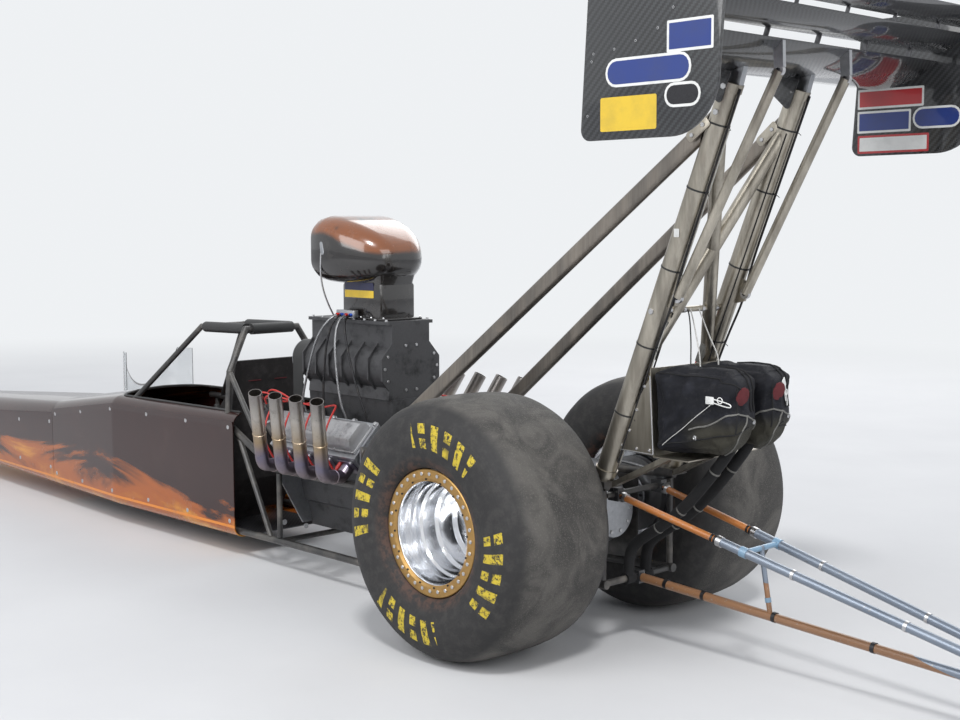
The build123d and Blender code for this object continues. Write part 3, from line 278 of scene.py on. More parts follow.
def paint(name, colour, rough=0.35, coat=0.4):
    """Sprayed paint with dust that gathers in patches."""
    look = Finish(name, coat_weight=coat, coat_roughness=0.08)
    fine = look.noise(160.0, 3, 0.6)
    dull = look.noise(7.0, 6, 0.65).ease(0.42, 0.78) * 0.35
    colour = look.mix(dull, look.mix(fine, colour, shade(colour, 1.25)), (0.32, 0.29, 0.25))
    return look.skin(colour, dull * 0.5 + fine * 0.06 + rough, fine, 0.0003, 0.3)


def straw_titanium(name, dark, light, rough=0.34):
    """Titanium tube: straw and grey drawn lines, with browner patches."""
    look = Finish(name, metallic=1.0)
    drawn_lines = look.noise(9.0, 6, 0.65, (1.0, 1.0, 0.10))
    fine = look.noise(120.0, 4, 0.6, (1.0, 1.0, 0.05))
    heat = look.noise(2.4, 4, 0.6, (1, 1, 1.7)).ease(0.60, 0.72) * 0.45
    colour = look.mix(heat, look.mix(drawn_lines.ease(0.35, 0.68), dark, light), (0.30, 0.25, 0.20))
    colour = look.mix(fine * 0.25, colour, (0.62, 0.60, 0.56))
    return look.skin(colour, fine * 0.16 + drawn_lines * 0.14 + (rough - 0.12), fine, 0.0003, 0.3)


def twill(name, size=0.0042, tint=(0.0105, 0.011, 0.012), coat=1.0):
    """Carbon cloth in a 2 by 2 twill under clear lacquer, laid along each face of the object, with
    painted sheen on the tows on top and on each yarn's crown.
    """
    look = Finish(name, coat_weight=coat, coat_roughness=0.05, metallic=0.25)
    way_x, way_y, _ = look.axes(look.node("TexCoord", output="Normal"))
    end_on, side_on = way_x.size().above(0.72), way_y.size().above(0.72)
    x, y, z = (wire / size for wire in look.axes())
    u = x * (1 - end_on) + z * end_on
    v = y * (1 - side_on) + z * side_on
    warp_up = (u.math("FLOOR") + v.math("FLOOR")).math("FLOORED_MODULO", 4.0).below(1.5)
    along_u = (v.math("FRACT") - 0.5).size() * 2
    along_v = (u.math("FRACT") - 0.5).size() * 2
    crown = (1 - along_u * along_u) * warp_up + (1 - along_v * along_v) * (1 - warp_up)
    # Painted sheen: the tows on top are lighter and each yarn's crown brighter, standing in for
    # light that the fibres reflect.
    colour = look.mix(warp_up * 0.75 + crown * 0.2, tint, shade(tint, 3.6))
    shine = warp_up * 0.12 + look.noise(6.0, 4) * 0.16 + 0.22
    return look.skin(colour, shine, crown, 0.00025, 0.35)


def rubber(name):
    """Slick: scuffed grey tread with a dusty crown, dark side walls and worn yellow marks."""
    look = Finish(name)
    x, z, radius = look.about_axle()
    side = look.axes()[1].size() - TRACK_HALF
    angle = z.math("ARCTAN2", x) / ROUND + 0.5
    scuff, grit = look.noise(26.0, 7, 0.7), look.noise(190.0, 4, 0.7)
    swirl = look.noise(5.0, 5, 0.6, warp=1.2)
    wall = look.mix(scuff.ease(0.4, 0.7), (0.016, 0.0155, 0.016), (0.036, 0.034, 0.033))
    red_dust = radius.below(0.262, 0.02) * scuff.ease(0.4, 0.6) * 0.55
    wall = look.mix(red_dust, wall, (0.10, 0.045, 0.028))
    tread = look.mix(swirl.ease(0.36, 0.66), (0.034, 0.032, 0.030), (0.092, 0.086, 0.078))
    tread = look.mix(grit.ease(0.52, 0.66) * 0.55, tread, (0.15, 0.14, 0.125))
    crown = radius.above(0.452, 0.012)
    slant = (angle * 34).math("FRACT") + (radius - 0.335) * 3.2
    group = (angle * 4 + 0.11).math("FRACT")
    bars = slant.above(0.22) * slant.below(0.74) * group.below(0.58)
    bars = bars * radius.above(0.304) * radius.below(0.390) * side.above(0.12)
    notch = (radius - 0.347).size().below(0.0085) * (angle * 17).math("FRACT").above(0.5)
    worn = look.noise(75.0, 6, 0.75).ease(0.40, 0.53) * look.noise(9.0, 3).ease(0.30, 0.44)
    mark = bars * (1 - notch) * worn * 0.92
    colour = look.mix(mark, look.mix(crown, wall, tread), (0.62, 0.47, 0.035))
    wrinkle = (radius * 620 + swirl * 5.0).math("SINE") * radius.below(0.445, 0.02)
    relief = grit * crown * 1.4 + scuff * 0.5 + wrinkle * 0.06
    return look.skin(colour, 0.62 + scuff * 0.22 - mark * 0.08, relief, 0.0016, 0.8)


def polished(name):
    """Polished aluminium with turned rings round the rear axle."""
    look = Finish(name, metallic=1.0)
    rings = (look.about_axle()[2] * 2600).math("SINE")
    smear = look.noise(12.0, 5, 0.65)
    dust = look.noise(34.0, 6, 0.72).ease(0.55, 0.72)
    colour = look.mix(dust * 0.45, (0.83, 0.84, 0.86), (0.42, 0.41, 0.40))
    shine = smear * 0.14 + dust * 0.22 + rings * 0.01 + 0.06
    return look.skin(colour, shine, rings, 0.00012, 0.25)


def hot_pipe(name):
    """Zoomie pipe: dull nickel that turns straw, bronze and blue towards the head."""
    look = Finish(name, metallic=1.0)
    height = look.axes()[2] + look.noise(9.0, 4) * 0.09
    stops = (
        (0.0, (0.30, 0.24, 0.22)),
        (0.25, (0.22, 0.20, 0.27)),
        (0.5, (0.40, 0.30, 0.19)),
        (0.8, (0.50, 0.47, 0.43)),
        (1.0, (0.28, 0.26, 0.25)),
    )
    tint = look.node("ValToRGB", {"stops": stops}, {"Fac": height.ease(0.44, 0.92)})
    soot = look.noise(30.0, 5, 0.7)
    colour = look.mix(soot.ease(0.5, 0.8) * 0.5, tint, (0.06, 0.055, 0.05))
    return look.skin(colour, soot * 0.3 + 0.2, look.noise(90.0, 4), 0.0004, 0.3)


def bar_finish(name):
    """Wheelie bars: brown-orange front tubes, steel-blue rear ones and a brown lower bar."""
    look = Finish(name, coat_weight=0.35, coat_roughness=0.15)
    x, _, z = look.axes()
    x = x - AXLE_X
    upper = (z - (x + 0.31) * 0.236 - 0.572).size().below(0.11)
    rear = x.below(-0.76) * upper
    chips = look.noise(85.0, 6, 0.7).ease(0.60, 0.66)
    streak = look.noise(14.0, 5, 0.6, (0.3, 1, 1))
    orange = look.mix(streak, (0.33, 0.115, 0.026), (0.50, 0.19, 0.055))
    blue = look.mix(streak, (0.14, 0.17, 0.22), (0.27, 0.31, 0.37))
    low = look.mix(streak, (0.18, 0.085, 0.04), (0.33, 0.17, 0.08))
    colour = look.mix(upper, low, look.mix(rear, orange, blue))
    colour = look.mix(x.above(-0.338), colour, (0.030, 0.030, 0.032))
    colour = look.mix(chips * 0.8, colour, (0.30, 0.29, 0.28))
    look.set(metallic=rear * 0.55 + chips * 0.4)
    return look.skin(colour, streak * 0.2 + 0.26, look.noise(130.0, 3), 0.0003, 0.3)


def body_finish(name):
    """Black-brown gloss with plain orange sweeps that break up rearward, and an edge line."""
    look = Finish(name, coat_weight=0.5, coat_roughness=0.05, specular_ior_level=0.3)
    x, _, z = look.axes()
    x = x - AXLE_X
    flow = look.noise(1.9, 5, 0.6, (0.42, 1.0, 1.5), warp=0.9)
    lick = flow + (z - 0.36) * -0.75 + (x - 3.0) * 0.02
    base = look.mix(look.noise(3.0, 4), (0.016, 0.0055, 0.0050), (0.040, 0.0115, 0.009))
    colour = look.mix(lick.ease(0.52, 0.62) * 0.9, base, (0.42, 0.105, 0.012))
    colour = look.mix(lick.ease(0.63, 0.78) * 0.85, colour, (0.80, 0.36, 0.035))
    colour = look.mix(z.below(0.152) * z.above(0.139), colour, (0.75, 0.24, 0.02))
    dust = look.noise(8.0, 6, 0.7).ease(0.5, 0.8) * z.ease(0.12, 0.45, 0.5, 0.12)
    colour = look.mix(dust * 0.7, colour, (0.17, 0.12, 0.10))
    return look.skin(colour, dust * 0.5 + 0.2, look.noise(260.0, 2), 0.00015, 0.25)


def gloss_black(name):
    """Black-brown lacquer with a painted orange reflection in streaks towards its top, and fine
    dust.
    """
    look = Finish(name, coat_weight=1.0, coat_roughness=0.05)
    dust = look.noise(14.0, 6, 0.7).ease(0.52, 0.80)
    x, _, z = look.axes()
    # Painted reflection: orange streaks high on the scoop stand for an orange reflection in its
    # lacquer.
    crest = z + (x - AXLE_X).ease(1.02, 1.30, 0.085, 0.0) - look.noise(5.0, 3) * 0.03
    painted_reflection = crest.above(1.494, 0.012) * look.noise(7.0, 3, 0.5, (1, 1, 0.3)).ease(0.30, 0.42)
    colour = look.mix(painted_reflection * 0.9, (0.010, 0.0080, 0.0075), (0.21, 0.055, 0.006))
    colour = look.mix(dust * 0.15, colour, (0.14, 0.12, 0.10))
    return look.skin(colour, dust * 0.25 + 0.22, look.noise(240.0, 3), 0.0002, 0.25)


def nylon(name, colour, pitch=0.0016):
    """Woven nylon with a basket weave, faded along its creases and olive low at the rear."""
    look = Finish(name, specular_ior_level=0.25)
    x, y, z = look.axes()
    weave = (x + y).wave(pitch) * z.wave(pitch) + (x - y).wave(pitch) * (1 - z.wave(pitch))
    faded = look.noise(16.0, 5, 0.65).ease(0.45, 0.72)
    dust = look.noise(60.0, 5, 0.7).ease(0.55, 0.72)
    tone = look.mix(faded * 0.7, colour, shade(colour, 2.4))
    olive = z.below(0.880, 0.03) * (x - AXLE_X).below(-0.70, 0.06) * 0.85
    tone = look.mix(dust * 0.14, look.mix(olive, tone, (0.044, 0.041, 0.030)), (0.13, 0.12, 0.11))
    return look.skin(tone, weave * 0.1 + 0.68, weave + look.noise(40.0, 4) * 1.2, 0.0007, 0.6)


def webbing(name, colour, pitch=0.0022):
    look = Finish(name, specular_ior_level=0.3)
    x, y, z = look.axes()
    rib = (x + y + z).wave(pitch) * 0.6 + (x - z).wave(pitch * 0.5) * 0.4
    dirt = look.noise(30.0, 5, 0.7).ease(0.45, 0.75)
    return look.skin(look.mix(dirt * 0.6, colour, shade(colour, 0.45)), 0.85, rib, 0.0005, 0.6)


def braid(name, colour, pitch=0.0034):
    """Steel or fabric braid over a hose, with painted shade in the gaps between its strands."""
    look = Finish(name, metallic=0.85)
    x, y, z = look.axes()
    cross = (x + y * 0.7 + z).wave(pitch) * (x - y * 0.7 - z).wave(pitch)
    dirt = look.noise(25.0, 5, 0.7).ease(0.45, 0.75)
    # Painted shade: the colour darkens to 0.3 of itself in the gaps between the strands.
    base = look.mix(cross, shade(colour, 0.3), colour)
    return look.skin(look.mix(dirt * 0.5, base, (0.10, 0.09, 0.08)), 0.36, cross, 0.0006, 0.7)


def plastic(name, colour, rough=0.42, coat=0.0):
    look = Finish(name, coat_weight=coat)
    fine, wipe = look.noise(220.0, 3), look.noise(11.0, 5, 0.65)
    colour = look.mix(wipe.ease(0.4, 0.75) * 0.5, colour, shade(colour, 0.6, 0.02))
    return look.skin(colour, wipe * 0.2 + fine * 0.08 + (rough - 0.1), fine, 0.0003, 0.4)


def cast(name, dark, light, rough=0.5):
    """Sand-cast metal with oil in its hollows."""
    look = Finish(name, metallic=0.8)
    grit = look.noise(260.0, 4, 0.7)
    oil = look.noise(14.0, 6, 0.7).ease(0.48, 0.72)
    colour = look.mix(oil * 0.7, look.mix(grit, dark, light), shade(dark, 0.4))
    return look.skin(colour, rough - oil * 0.22 + grit * 0.1, grit, 0.0009, 0.6)


def clear_sheet(name):
    look = Finish(name, transmission_weight=0.94, ior=1.49)
    haze = look.noise(18.0, 5, 0.7)
    colour = look.mix(haze * 0.3, (0.90, 0.92, 0.93), (0.72, 0.73, 0.72))
    return look.skin(colour, 0.05, haze, 0.0002, 0.1)


LOOKS = {
    "frame_paint": (paint, (0.020, 0.019, 0.019), 0.38, 0.3),
    "strut_titanium": (straw_titanium, (0.215, 0.192, 0.155), (0.50, 0.46, 0.385)),
    "strut_brown": (straw_titanium, (0.105, 0.092, 0.080), (0.215, 0.185, 0.155), 0.4),
    "machined_aluminium": (metal, (0.31, 0.32, 0.34), (0.52, 0.53, 0.55), 0.34),
    "polished_aluminium": (polished,),
    "cast_dark": (cast, (0.055, 0.055, 0.058), (0.13, 0.13, 0.135)),
    "cover_silver": (cast, (0.30, 0.30, 0.31), (0.48, 0.48, 0.49), 0.46),
    "drive_dark": (metal, (0.10, 0.10, 0.105), (0.20, 0.20, 0.21), 0.35),
    "gloss_carbon": (twill, 0.0055),
    "plate_carbon": (twill, 0.0065),
    "hat_gloss": (gloss_black,),
    "magneto_dark": (paint, (0.025, 0.026, 0.03), 0.32, 0.5),
    "pipe_steel": (hot_pipe,),
    "bare_steel": (metal, (0.32, 0.32, 0.33), (0.50, 0.50, 0.51), 0.38),
    "ring_bronze": (metal, (0.33, 0.19, 0.065), (0.52, 0.33, 0.13), 0.36),
    "tyre_rubber": (rubber,),
    "front_rubber": (plastic, (0.022, 0.022, 0.023), 0.75),
    "pack_cloth": (nylon, (0.0085, 0.009, 0.0125)),
    "bar_paint": (bar_finish,),
    "roller_plastic": (plastic, (0.05, 0.05, 0.052)),
    "body_gloss": (body_finish,),
    "floor_panel": (twill, 0.0055, (0.020, 0.020, 0.022), 0.5),
    "screen_clear": (clear_sheet,),
    "seat_dark": (nylon, (0.020, 0.018, 0.018), 0.0022),
    "bolt_steel": (metal, (0.42, 0.42, 0.43), (0.66, 0.66, 0.67), 0.26, 200.0),
    "bolt_black": (metal, (0.035, 0.035, 0.038), (0.07, 0.07, 0.075), 0.4, 200.0),
    "red_anodised": (metal, (0.42, 0.02, 0.018), (0.62, 0.04, 0.03), 0.28),
    "blue_anodised": (metal, (0.03, 0.08, 0.42), (0.05, 0.13, 0.60), 0.28),
    "hose_braid": (braid, (0.55, 0.56, 0.58)),
    "hose_black": (braid, (0.06, 0.06, 0.065), 0.003),
    "strap_black": (webbing, (0.014, 0.014, 0.015)),
    "strap_grey": (webbing, (0.175, 0.172, 0.160)),
    "strap_maroon": (webbing, (0.115, 0.022, 0.026)),
    "strap_white": (webbing, (0.74, 0.73, 0.70)),
    "lead_yellow": (plastic, (0.66, 0.47, 0.03)),
    "lead_red": (plastic, (0.45, 0.025, 0.02)),
    "lead_white": (plastic, (0.70, 0.70, 0.67)),
    "label_yellow": (plastic, (0.74, 0.50, 0.03), 0.35, 0.5),
    "label_white": (plastic, (0.80, 0.80, 0.78), 0.35, 0.6),
    "label_blue": (plastic, (0.010, 0.034, 0.20), 0.35, 0.5),
    "label_navy": (plastic, (0.006, 0.008, 0.055), 0.35, 0.5),
    "label_red": (plastic, (0.48, 0.02, 0.025), 0.35, 0.6),
    "tie_black": (plastic, (0.02, 0.02, 0.02)),
    "bar_blue": (paint, (0.16, 0.27, 0.38), 0.35, 0.4),
}
FINISHES = {}


def finishes():
    """Makes every finish, and gives each CAD node the one of its slot."""
    for name, (kind, *values) in LOOKS.items():
        FINISHES[name] = kind(name, *values).material
    for subpart in frame["record"]["subparts"]:
        dressed(frame["nodes"][subpart["node"]], subpart["material_slot"])


# ---------------------------------------------------------------- ways to shape a piece


def only(piece):
    """Selects one piece and makes it the active one."""
    bpy.ops.object.select_all(action="DESELECT")
    piece.select_set(True)
    bpy.context.view_layer.objects.active = piece
    return piece


@contextlib.contextmanager
def editing(piece, kind="FACE", chosen="SELECT"):
    """Edit mode on one piece, with all of it selected unless its own selection is kept."""
    only(piece)
    bpy.ops.object.mode_set(mode="EDIT")
    if chosen:
        bpy.ops.mesh.select_mode(type=kind)
        bpy.ops.mesh.select_all(action=chosen)
    yield
    bpy.ops.object.mode_set(mode="OBJECT")


def closed_up(piece):
    """Merges doubles and turns the faces outward."""
    with editing(piece):
        bpy.ops.mesh.remove_doubles(threshold=0.00002)
        bpy.ops.mesh.normals_make_consistent(inside=False)
    return piece


def applied(piece, kind, **settings):
    """Adds a modifier with its settings and applies it."""
    only(piece)
    modifier = piece.modifiers.new(kind.lower(), kind)
    for key, value in settings.items():
        setattr(modifier, key, value)
    bpy.ops.object.modifier_apply(modifier=modifier.name)
    return piece


def finished(piece, bevel=0.0, steps=2, levels=0, smooth=38):
    """Applies a bevel and a subdivision, then shades what is nearly flat as smooth."""
    only(piece)
    if bevel:
        applied(piece, "BEVEL", width=bevel, segments=steps, angle_limit=math.radians(32))
    if levels:
        applied(piece, "SUBSURF", levels=levels, render_levels=levels)
    if smooth:
        bpy.ops.object.shade_smooth_by_angle(angle=math.radians(smooth))
    return piece


def shift(x, y, z):
    return Matrix.Translation((x, y, z))


def up(height):
    return shift(0, 0, height)


def turned(angle, axis="Z"):
    return Matrix.Rotation(angle, 4, axis)


def facing(place, way, top="Y"):
    """Matrix that stands a shape at a place, its own Z along a direction."""
    return Matrix.Translation(place) @ Vector(way).to_track_quat("Z", top).to_matrix().to_4x4()


def placed(piece, matrix):
    """Moves a finished shape to its place and leaves its object at the origin."""
    piece.matrix_world = matrix
    only(piece)
    bpy.ops.object.transform_apply(location=True, rotation=True, scale=True)
    return piece


def curved(lines, closed=True, smooth=0, radius=0.0, sides=3, fine=6, name="line"):
    """Curve object of lines, or of round tubes where a radius is given."""
    curve = bpy.data.curves.new(name, "CURVE")
    curve.dimensions, curve.resolution_u = "3D", fine
    curve.bevel_depth, curve.bevel_resolution = radius, sides
    curve.use_fill_caps = True
    for points in lines:
        spline = curve.splines.new("NURBS" if smooth else "POLY")
        spline.points.add(len(points) - 1)
        for control, place in zip(spline.points, points):
            control.co = (*place, 1)
        spline.use_cyclic_u = closed
        if smooth:
            spline.order_u = min(smooth, len(points))
            spline.use_endpoint_u = not closed
    piece = bpy.data.objects.new(name, curve)
    bpy.context.scene.collection.objects.link(piece)
    return piece


def drawn(*lines, **settings):
    """The same lines as a mesh."""
    only(curved(*lines, **settings))
    bpy.ops.object.convert(target="MESH")
    return bpy.context.object


def path_points(points):
    """Close points along a smooth path near its control points."""
    path = drawn([points], closed=False, smooth=3, fine=8)
    line = [vertex.co.copy() for vertex in path.data.vertices]
    bpy.data.objects.remove(path)
    return line


def tube(points, radius, smooth=3, sides=3, fine=6, name="tube"):
    """Round tube through or near its points."""
    piece = drawn([points], False, smooth, radius, sides, fine, name)
    return finished(closed_up(piece), smooth=50)


def spun(profile, steps=48, bevel=0.0, name="turned"):
    """Turns a profile of (radius, height) about the Z axis."""
    piece = drawn([[(r, 0, z) for r, z in profile]], name=name)
    with editing(piece, "VERT"):
        bpy.ops.mesh.spin(steps=steps, angle=ROUND, center=(0, 0, 0), axis=(0, 0, 1))
    return finished(closed_up(piece), bevel)


def slab(outline, thick, bevel=0.0, steps=2, name="slab"):
    """Flat outline on XY raised by a thickness."""
    piece = drawn([[(x, y, 0) for x, y in outline]], name=name)
    with editing(piece, "EDGE"):
        bpy.ops.mesh.edge_face_add()
        bpy.ops.mesh.extrude_region_move(TRANSFORM_OT_translate={"value": (0, 0, thick)})
    return finished(closed_up(piece), bevel, steps)


def upright(outline, y_low, y_high, bevel=0.0, steps=2, name="plate"):
    """Outline of (x from the rear axle, z) made a plate between two widths."""
    low, high = sorted((y_low, y_high))
    piece = slab([(x, -z) for x, z in outline], high - low, bevel, steps, name)
    return placed(piece, Matrix.Translation(car(0, low, 0)) @ turned(-QUARTER, "X"))


def lofted(sections, caps=True, name="skin"):
    """Skin over a row of closed sections."""
    piece = drawn(sections, name=name)
    with editing(piece, "EDGE"):
        bpy.ops.mesh.bridge_edge_loops()
        if caps:
            bpy.ops.mesh.select_all(action="SELECT")
            bpy.ops.mesh.fill_holes(sides=0)
    return finished(closed_up(piece))


def block(size, bevel):
    """Box with rounded edges."""
    bpy.ops.object.select_all(action="DESELECT")
    bpy.ops.mesh.primitive_cube_add(size=1)
    piece = bpy.context.object
    piece.scale = size
    bpy.ops.object.transform_apply(location=False, rotation=False, scale=True)
    return finished(piece, bevel)


def arc(a, b, c, count):
    """Points on the circle through three points of a plane, from a to c by way of b."""
    ax, ay, bx, by, cx, cy = *a, *b, *c
    d = 2 * (ax * (by - cy) + bx * (cy - ay) + cx * (ay - by))
    aa, bb, cc = (x * x + y * y for x, y in (a, b, c))
    ox = (aa * (by - cy) + bb * (cy - ay) + cc * (ay - by)) / d
    oy = (aa * (cx - bx) + bb * (ax - cx) + cc * (bx - ax)) / d
    start, middle, end = (math.atan2(y - oy, x - ox) for x, y in (a, b, c))
    middle, end = (start + (t - start + math.pi) % ROUND - math.pi for t in (middle, end))
    if (middle - start) * (end - start) < 0:
        end += ROUND if middle > start else -ROUND
    radius = math.hypot(ax - ox, ay - oy)
    turns = [start + (end - start) * i / (count - 1) for i in range(count)]
    return [(ox + radius * math.cos(t), oy + radius * math.sin(t)) for t in turns]


def rounded(corners, count=5):
    """Outline whose corners are rounded; each corner is (x, y, radius)."""
    outline = []
    for i, (x, y, radius) in enumerate(corners):
        if not radius:
            outline.append((x, y))
            continue
        here = Vector((x, y))
        before = (Vector(corners[i - 1][:2]) - here).normalized()
        after = (Vector(corners[(i + 1) % len(corners)][:2]) - here).normalized()
        half = before.angle(after) / 2
        reach = radius / math.tan(half)
        centre = here + (before + after).normalized() * radius / math.sin(half)
        middle = centre + (here - centre).normalized() * radius
        outline += arc(here + before * reach, middle, here + after * reach, count)
    return outline


def oblong(half_x, half_y, radius, x=0.0, y=0.0):
    """Rounded rectangle about a middle."""
    return rounded([(a * half_x + x, b * half_y + y, radius) for a, b in SQUARE])


def upper_and_lower(profile):
    """A profile followed by its mirror image, back to where it began."""
    return [*profile, *[(r, -out) for r, out in reversed(profile)]]


def merged(parts, name):
    """Joins shapes into one piece."""
    only(parts[0])
    for part in parts:
        part.select_set(True)
    bpy.ops.object.join()
    piece = bpy.context.object
    piece.name = piece.data.name = name
    return piece


def repeated(pattern, places, name="copies"):
    """One modelled shape copied to every place, as a single piece."""
    parts = []
    for place in places:
        part = pattern.copy()
        part.data = pattern.data.copy()
        part.data.transform(place)
        bpy.context.scene.collection.objects.link(part)
        parts.append(part)
    bpy.data.objects.remove(pattern)
    return merged(parts, name)


def dressed(piece, finish):
    piece.data.materials.clear()
    piece.data.materials.append(FINISHES[finish])
    return piece


def settled(piece, stands_for=(), body="chassis", finish=None):
    """Gives a finished piece its material and its body, and hides the CAD nodes that it stands for.
    """
    if finish:
        dressed(piece, finish)
    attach(piece, body)
    if stands_for:
        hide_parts(*stands_for)
    return piece


class Kit:
    """Shapes that are gathered into one piece of the car."""

    def __init__(self, name):
        self.name, self.shapes = name, []

    def add(self, shape, finish, place=None, way=None):
        """Adds a shape; with a way, its own Z is stood along it at the place."""
        if way is not None:
            place = facing(place, way)
        if place is not None:
            placed(shape, place)
        self.shapes.append(dressed(shape, finish))

    def turn(self, profile, steps, finish, place, way=None, bevel=0.0):
        self.add(spun(profile, steps, bevel), finish, place, way)

    def line(self, points, radius, finish, sides=2, fine=6, smooth=3):
        self.add(tube(points, radius, smooth, sides, fine), finish)

    def copies(self, shape, places, finish="bolt_steel"):
        self.add(repeated(shape, places), finish)

    def band(self, place, way, radius, wide, thick=0.0012, finish="tie_black"):
        """Strap, sleeve or cable tie round a tube."""
        inner, outer, end = radius - 0.002, radius + thick, wide / 2
        profile = ((inner, -end), (outer, -end), (outer, end), (inner, end))
        self.turn(profile, 32, finish, place, way)

    def mount(self, stands_for=(), body="chassis"):
        return settled(merged(self.shapes, self.name), stands_for, body)


def hex_bolt(across, head, washer=True):
    """Hexagon bolt head with a chamfered top, on its washer."""
    add = bpy.ops.mesh.primitive_cylinder_add
    bpy.ops.object.select_all(action="DESELECT")
    add(vertices=6, radius=across / math.sqrt(3), depth=head, location=(0, 0, head / 2))
    bolt = finished(bpy.context.object, across * 0.07, 1, smooth=0)
    if not washer:
        return bolt
    add(vertices=16, radius=across * 0.78, depth=head * 0.3, location=(0, 0, head * 0.08))
    return merged([bolt, finished(bpy.context.object, across * 0.03, 1)], "bolt")


def nut(across, head):
    return hex_bolt(across, head, washer=False)


def cap_screw(r, head):
    """Round screw head with a domed rim and a sunk hexagon."""
    rim = ((0, 0), (r, 0), (r, head * 0.7), (r * 0.82, head), (r * 0.5, head))
    return spun((*rim, (r * 0.46, head * 0.5), (0, head * 0.5)), 14)


def ring_of(count, radius, place, start=0.0):
    """Matrices evenly round the Z axis of a place."""
    return [place @ turned(start + ROUND * i / count) @ shift(radius, 0, 0) for i in range(count)]


def both(make):
    return [make(side) for side in SIDES]


# ---------------------------------------------------------------- rear wheels and tyres


def rear_tyres():
    wall = (
        (0.2285, 0.214), (0.232, 0.226), (0.246, 0.240), (0.272, 0.2495), (0.310, 0.2562),
        (0.350, 0.2568), (0.386, 0.2515), (0.418, 0.238), (0.442, 0.214), (0.457, 0.184),
        (0.4655, 0.144), (0.470, 0.090), (0.472, 0.030),
    )
    around = [(r, out + TRACK_HALF) for r, out in upper_and_lower(wall)]

    def one(side):
        return placed(spun(around, 128), facing(car(0, 0, AXLE_Z), (0, side, 0)))

    tyres = merged(both(one), "rear_slicks")
    settled(tyres, ["rear_tyres"], "rear_axle", "tyre_rubber")


def rear_wheels():
    """Stepped dishes with a hub cap, nuts and a valve, each with its bolted bead ring."""
    dish = (
        (0.2275, 0.738), (0.183, 0.738), (0.1805, 0.728), (0.1795, 0.700), (0.176, 0.694),
        (0.1735, 0.644), (0.166, 0.634), (0.1630, 0.580), (0.153, 0.568), (0.1490, 0.506),
        (0.137, 0.492), (0.1315, 0.446), (0.119, 0.432), (0.082, 0.4245), (0.052, 0.4245),
        (0.050, 0.441), (0.040, 0.446), (0, 0.446), (0, 0.409), (0.194, 0.409), (0.194, 0.311),
        (0.2275, 0.311), (0.2275, 0.319), (0.210, 0.330), (0.203, 0.350), (0.203, 0.700),
        (0.212, 0.716), (0.2275, 0.723),
    )
    ring = (
        (0.1835, 0.739), (0.2275, 0.739), (0.2275, 0.7455), (0.224, 0.7485), (0.194, 0.7485),
        (0.188, 0.7445), (0.1835, 0.743),
    )
    cap = ((0, 0.444), (0.047, 0.444), (0.047, 0.452), (0.041, 0.468), (0.036, 0.472), (0, 0.473))
    valve = ((0, 0), (0.006, 0), (0.0055, 0.006), (0.0035, 0.007), (0.0035, 0.026), (0, 0.026))
    for side, word in WORDS.items():
        hub = facing(car(0, 0, AXLE_Z), (0, side, 0))
        wheel = Kit(f"rear_wheel_{word}")
        wheel.turn(dish, 96, "polished_aluminium", hub, bevel=0.0014)
        wheel.copies(hex_bolt(0.026, 0.018), ring_of(5, 0.0665, hub @ up(0.4235)))
        wheel.turn(cap, 40, "bolt_black", hub, bevel=0.001)
        wheel.turn(valve, 16, "bolt_black", hub @ shift(0.098, 0.02, 0.427))
        wheel.add(block((0.006, 0.05, 0.018), 0.001), "cover_silver", hub @ shift(0.1742, 0, 0.668))
        wheel.mount(["rear_wheels"], "rear_axle")
        clamp = Kit(f"beadlock_ring_{word}")
        clamp.turn(ring, 96, "ring_bronze", hub, bevel=0.0008)
        clamp.copies(hex_bolt(0.0125, 0.0065), ring_of(32, 0.2075, hub @ up(0.7485)))
        screws = ring_of(16, 0.191, hub @ up(0.7470), 0.1)
        clamp.copies(cap_screw(0.0038, 0.003), screws, "bolt_black")
        clamp.mount(["beadlock_rings"], "rear_axle")


# ---------------------------------------------------------------- wing


# Nose x and z, tail x and z, depth of the belly, rise of the upper side.
ELEMENTS = {
    "wing_main_plane": (-0.722, 2.050, -1.050, 2.120, 0.042, 0.006),
    "wing_second_plane": (-1.034, 2.148, -1.158, 2.206, 0.018, 0.003),
    "wing_flap": (-1.146, 2.226, -1.232, 2.280, 0.012, 0.002),
}
PLATE_INNER, PLATE_OUTER = 0.7475, 0.759
PLATE_LOW, PLATE_TOP, PLATE_FRONT, PLATE_BACK = 1.794, 2.292, -0.710, -1.216
# Stickers: x, z, width, height, corner radius, border, field.
OUTER_STICKERS = (
    (-1.126, 2.076, 0.165, 0.090, 0.004, "label_white", "label_blue"),
    (-0.972, 1.989, 0.320, 0.084, 0.041, "label_white", "label_blue"),
    (-1.101, 1.911, 0.130, 0.070, 0.034, "label_white", "bolt_black"),
    (-0.900, 1.869, 0.215, 0.100, 0.006, "label_yellow", "label_yellow"),
)
INNER_STICKERS = (
    (-0.870, 2.002, 0.270, 0.072, 0.004, "label_white", "label_red"),
    (-0.845, 1.918, 0.220, 0.080, 0.004, "label_white", "label_blue"),
    (-1.057, 1.923, 0.190, 0.078, 0.039, "label_white", "label_blue"),
    (-0.883, 1.836, 0.290, 0.066, 0.004, "label_red", "label_white"),
)


def wing_section(row):
    """Outline of an upside-down aerofoil with a round nose and a square tail."""
    nose, tail, (belly, rise) = Vector(row[:2]), Vector(row[2:4]), row[4:]
    along = (tail - nose).normalized()
    down = Vector((-abs(along.y), -abs(along.x)))
    middle = nose + (tail - nose) * 0.42
    under = arc(nose, middle + down * belly, tail + down * 0.003, 26)
    over = arc(tail, middle - down * rise, nose - down * 0.002, 22)
    return [*under, *over]


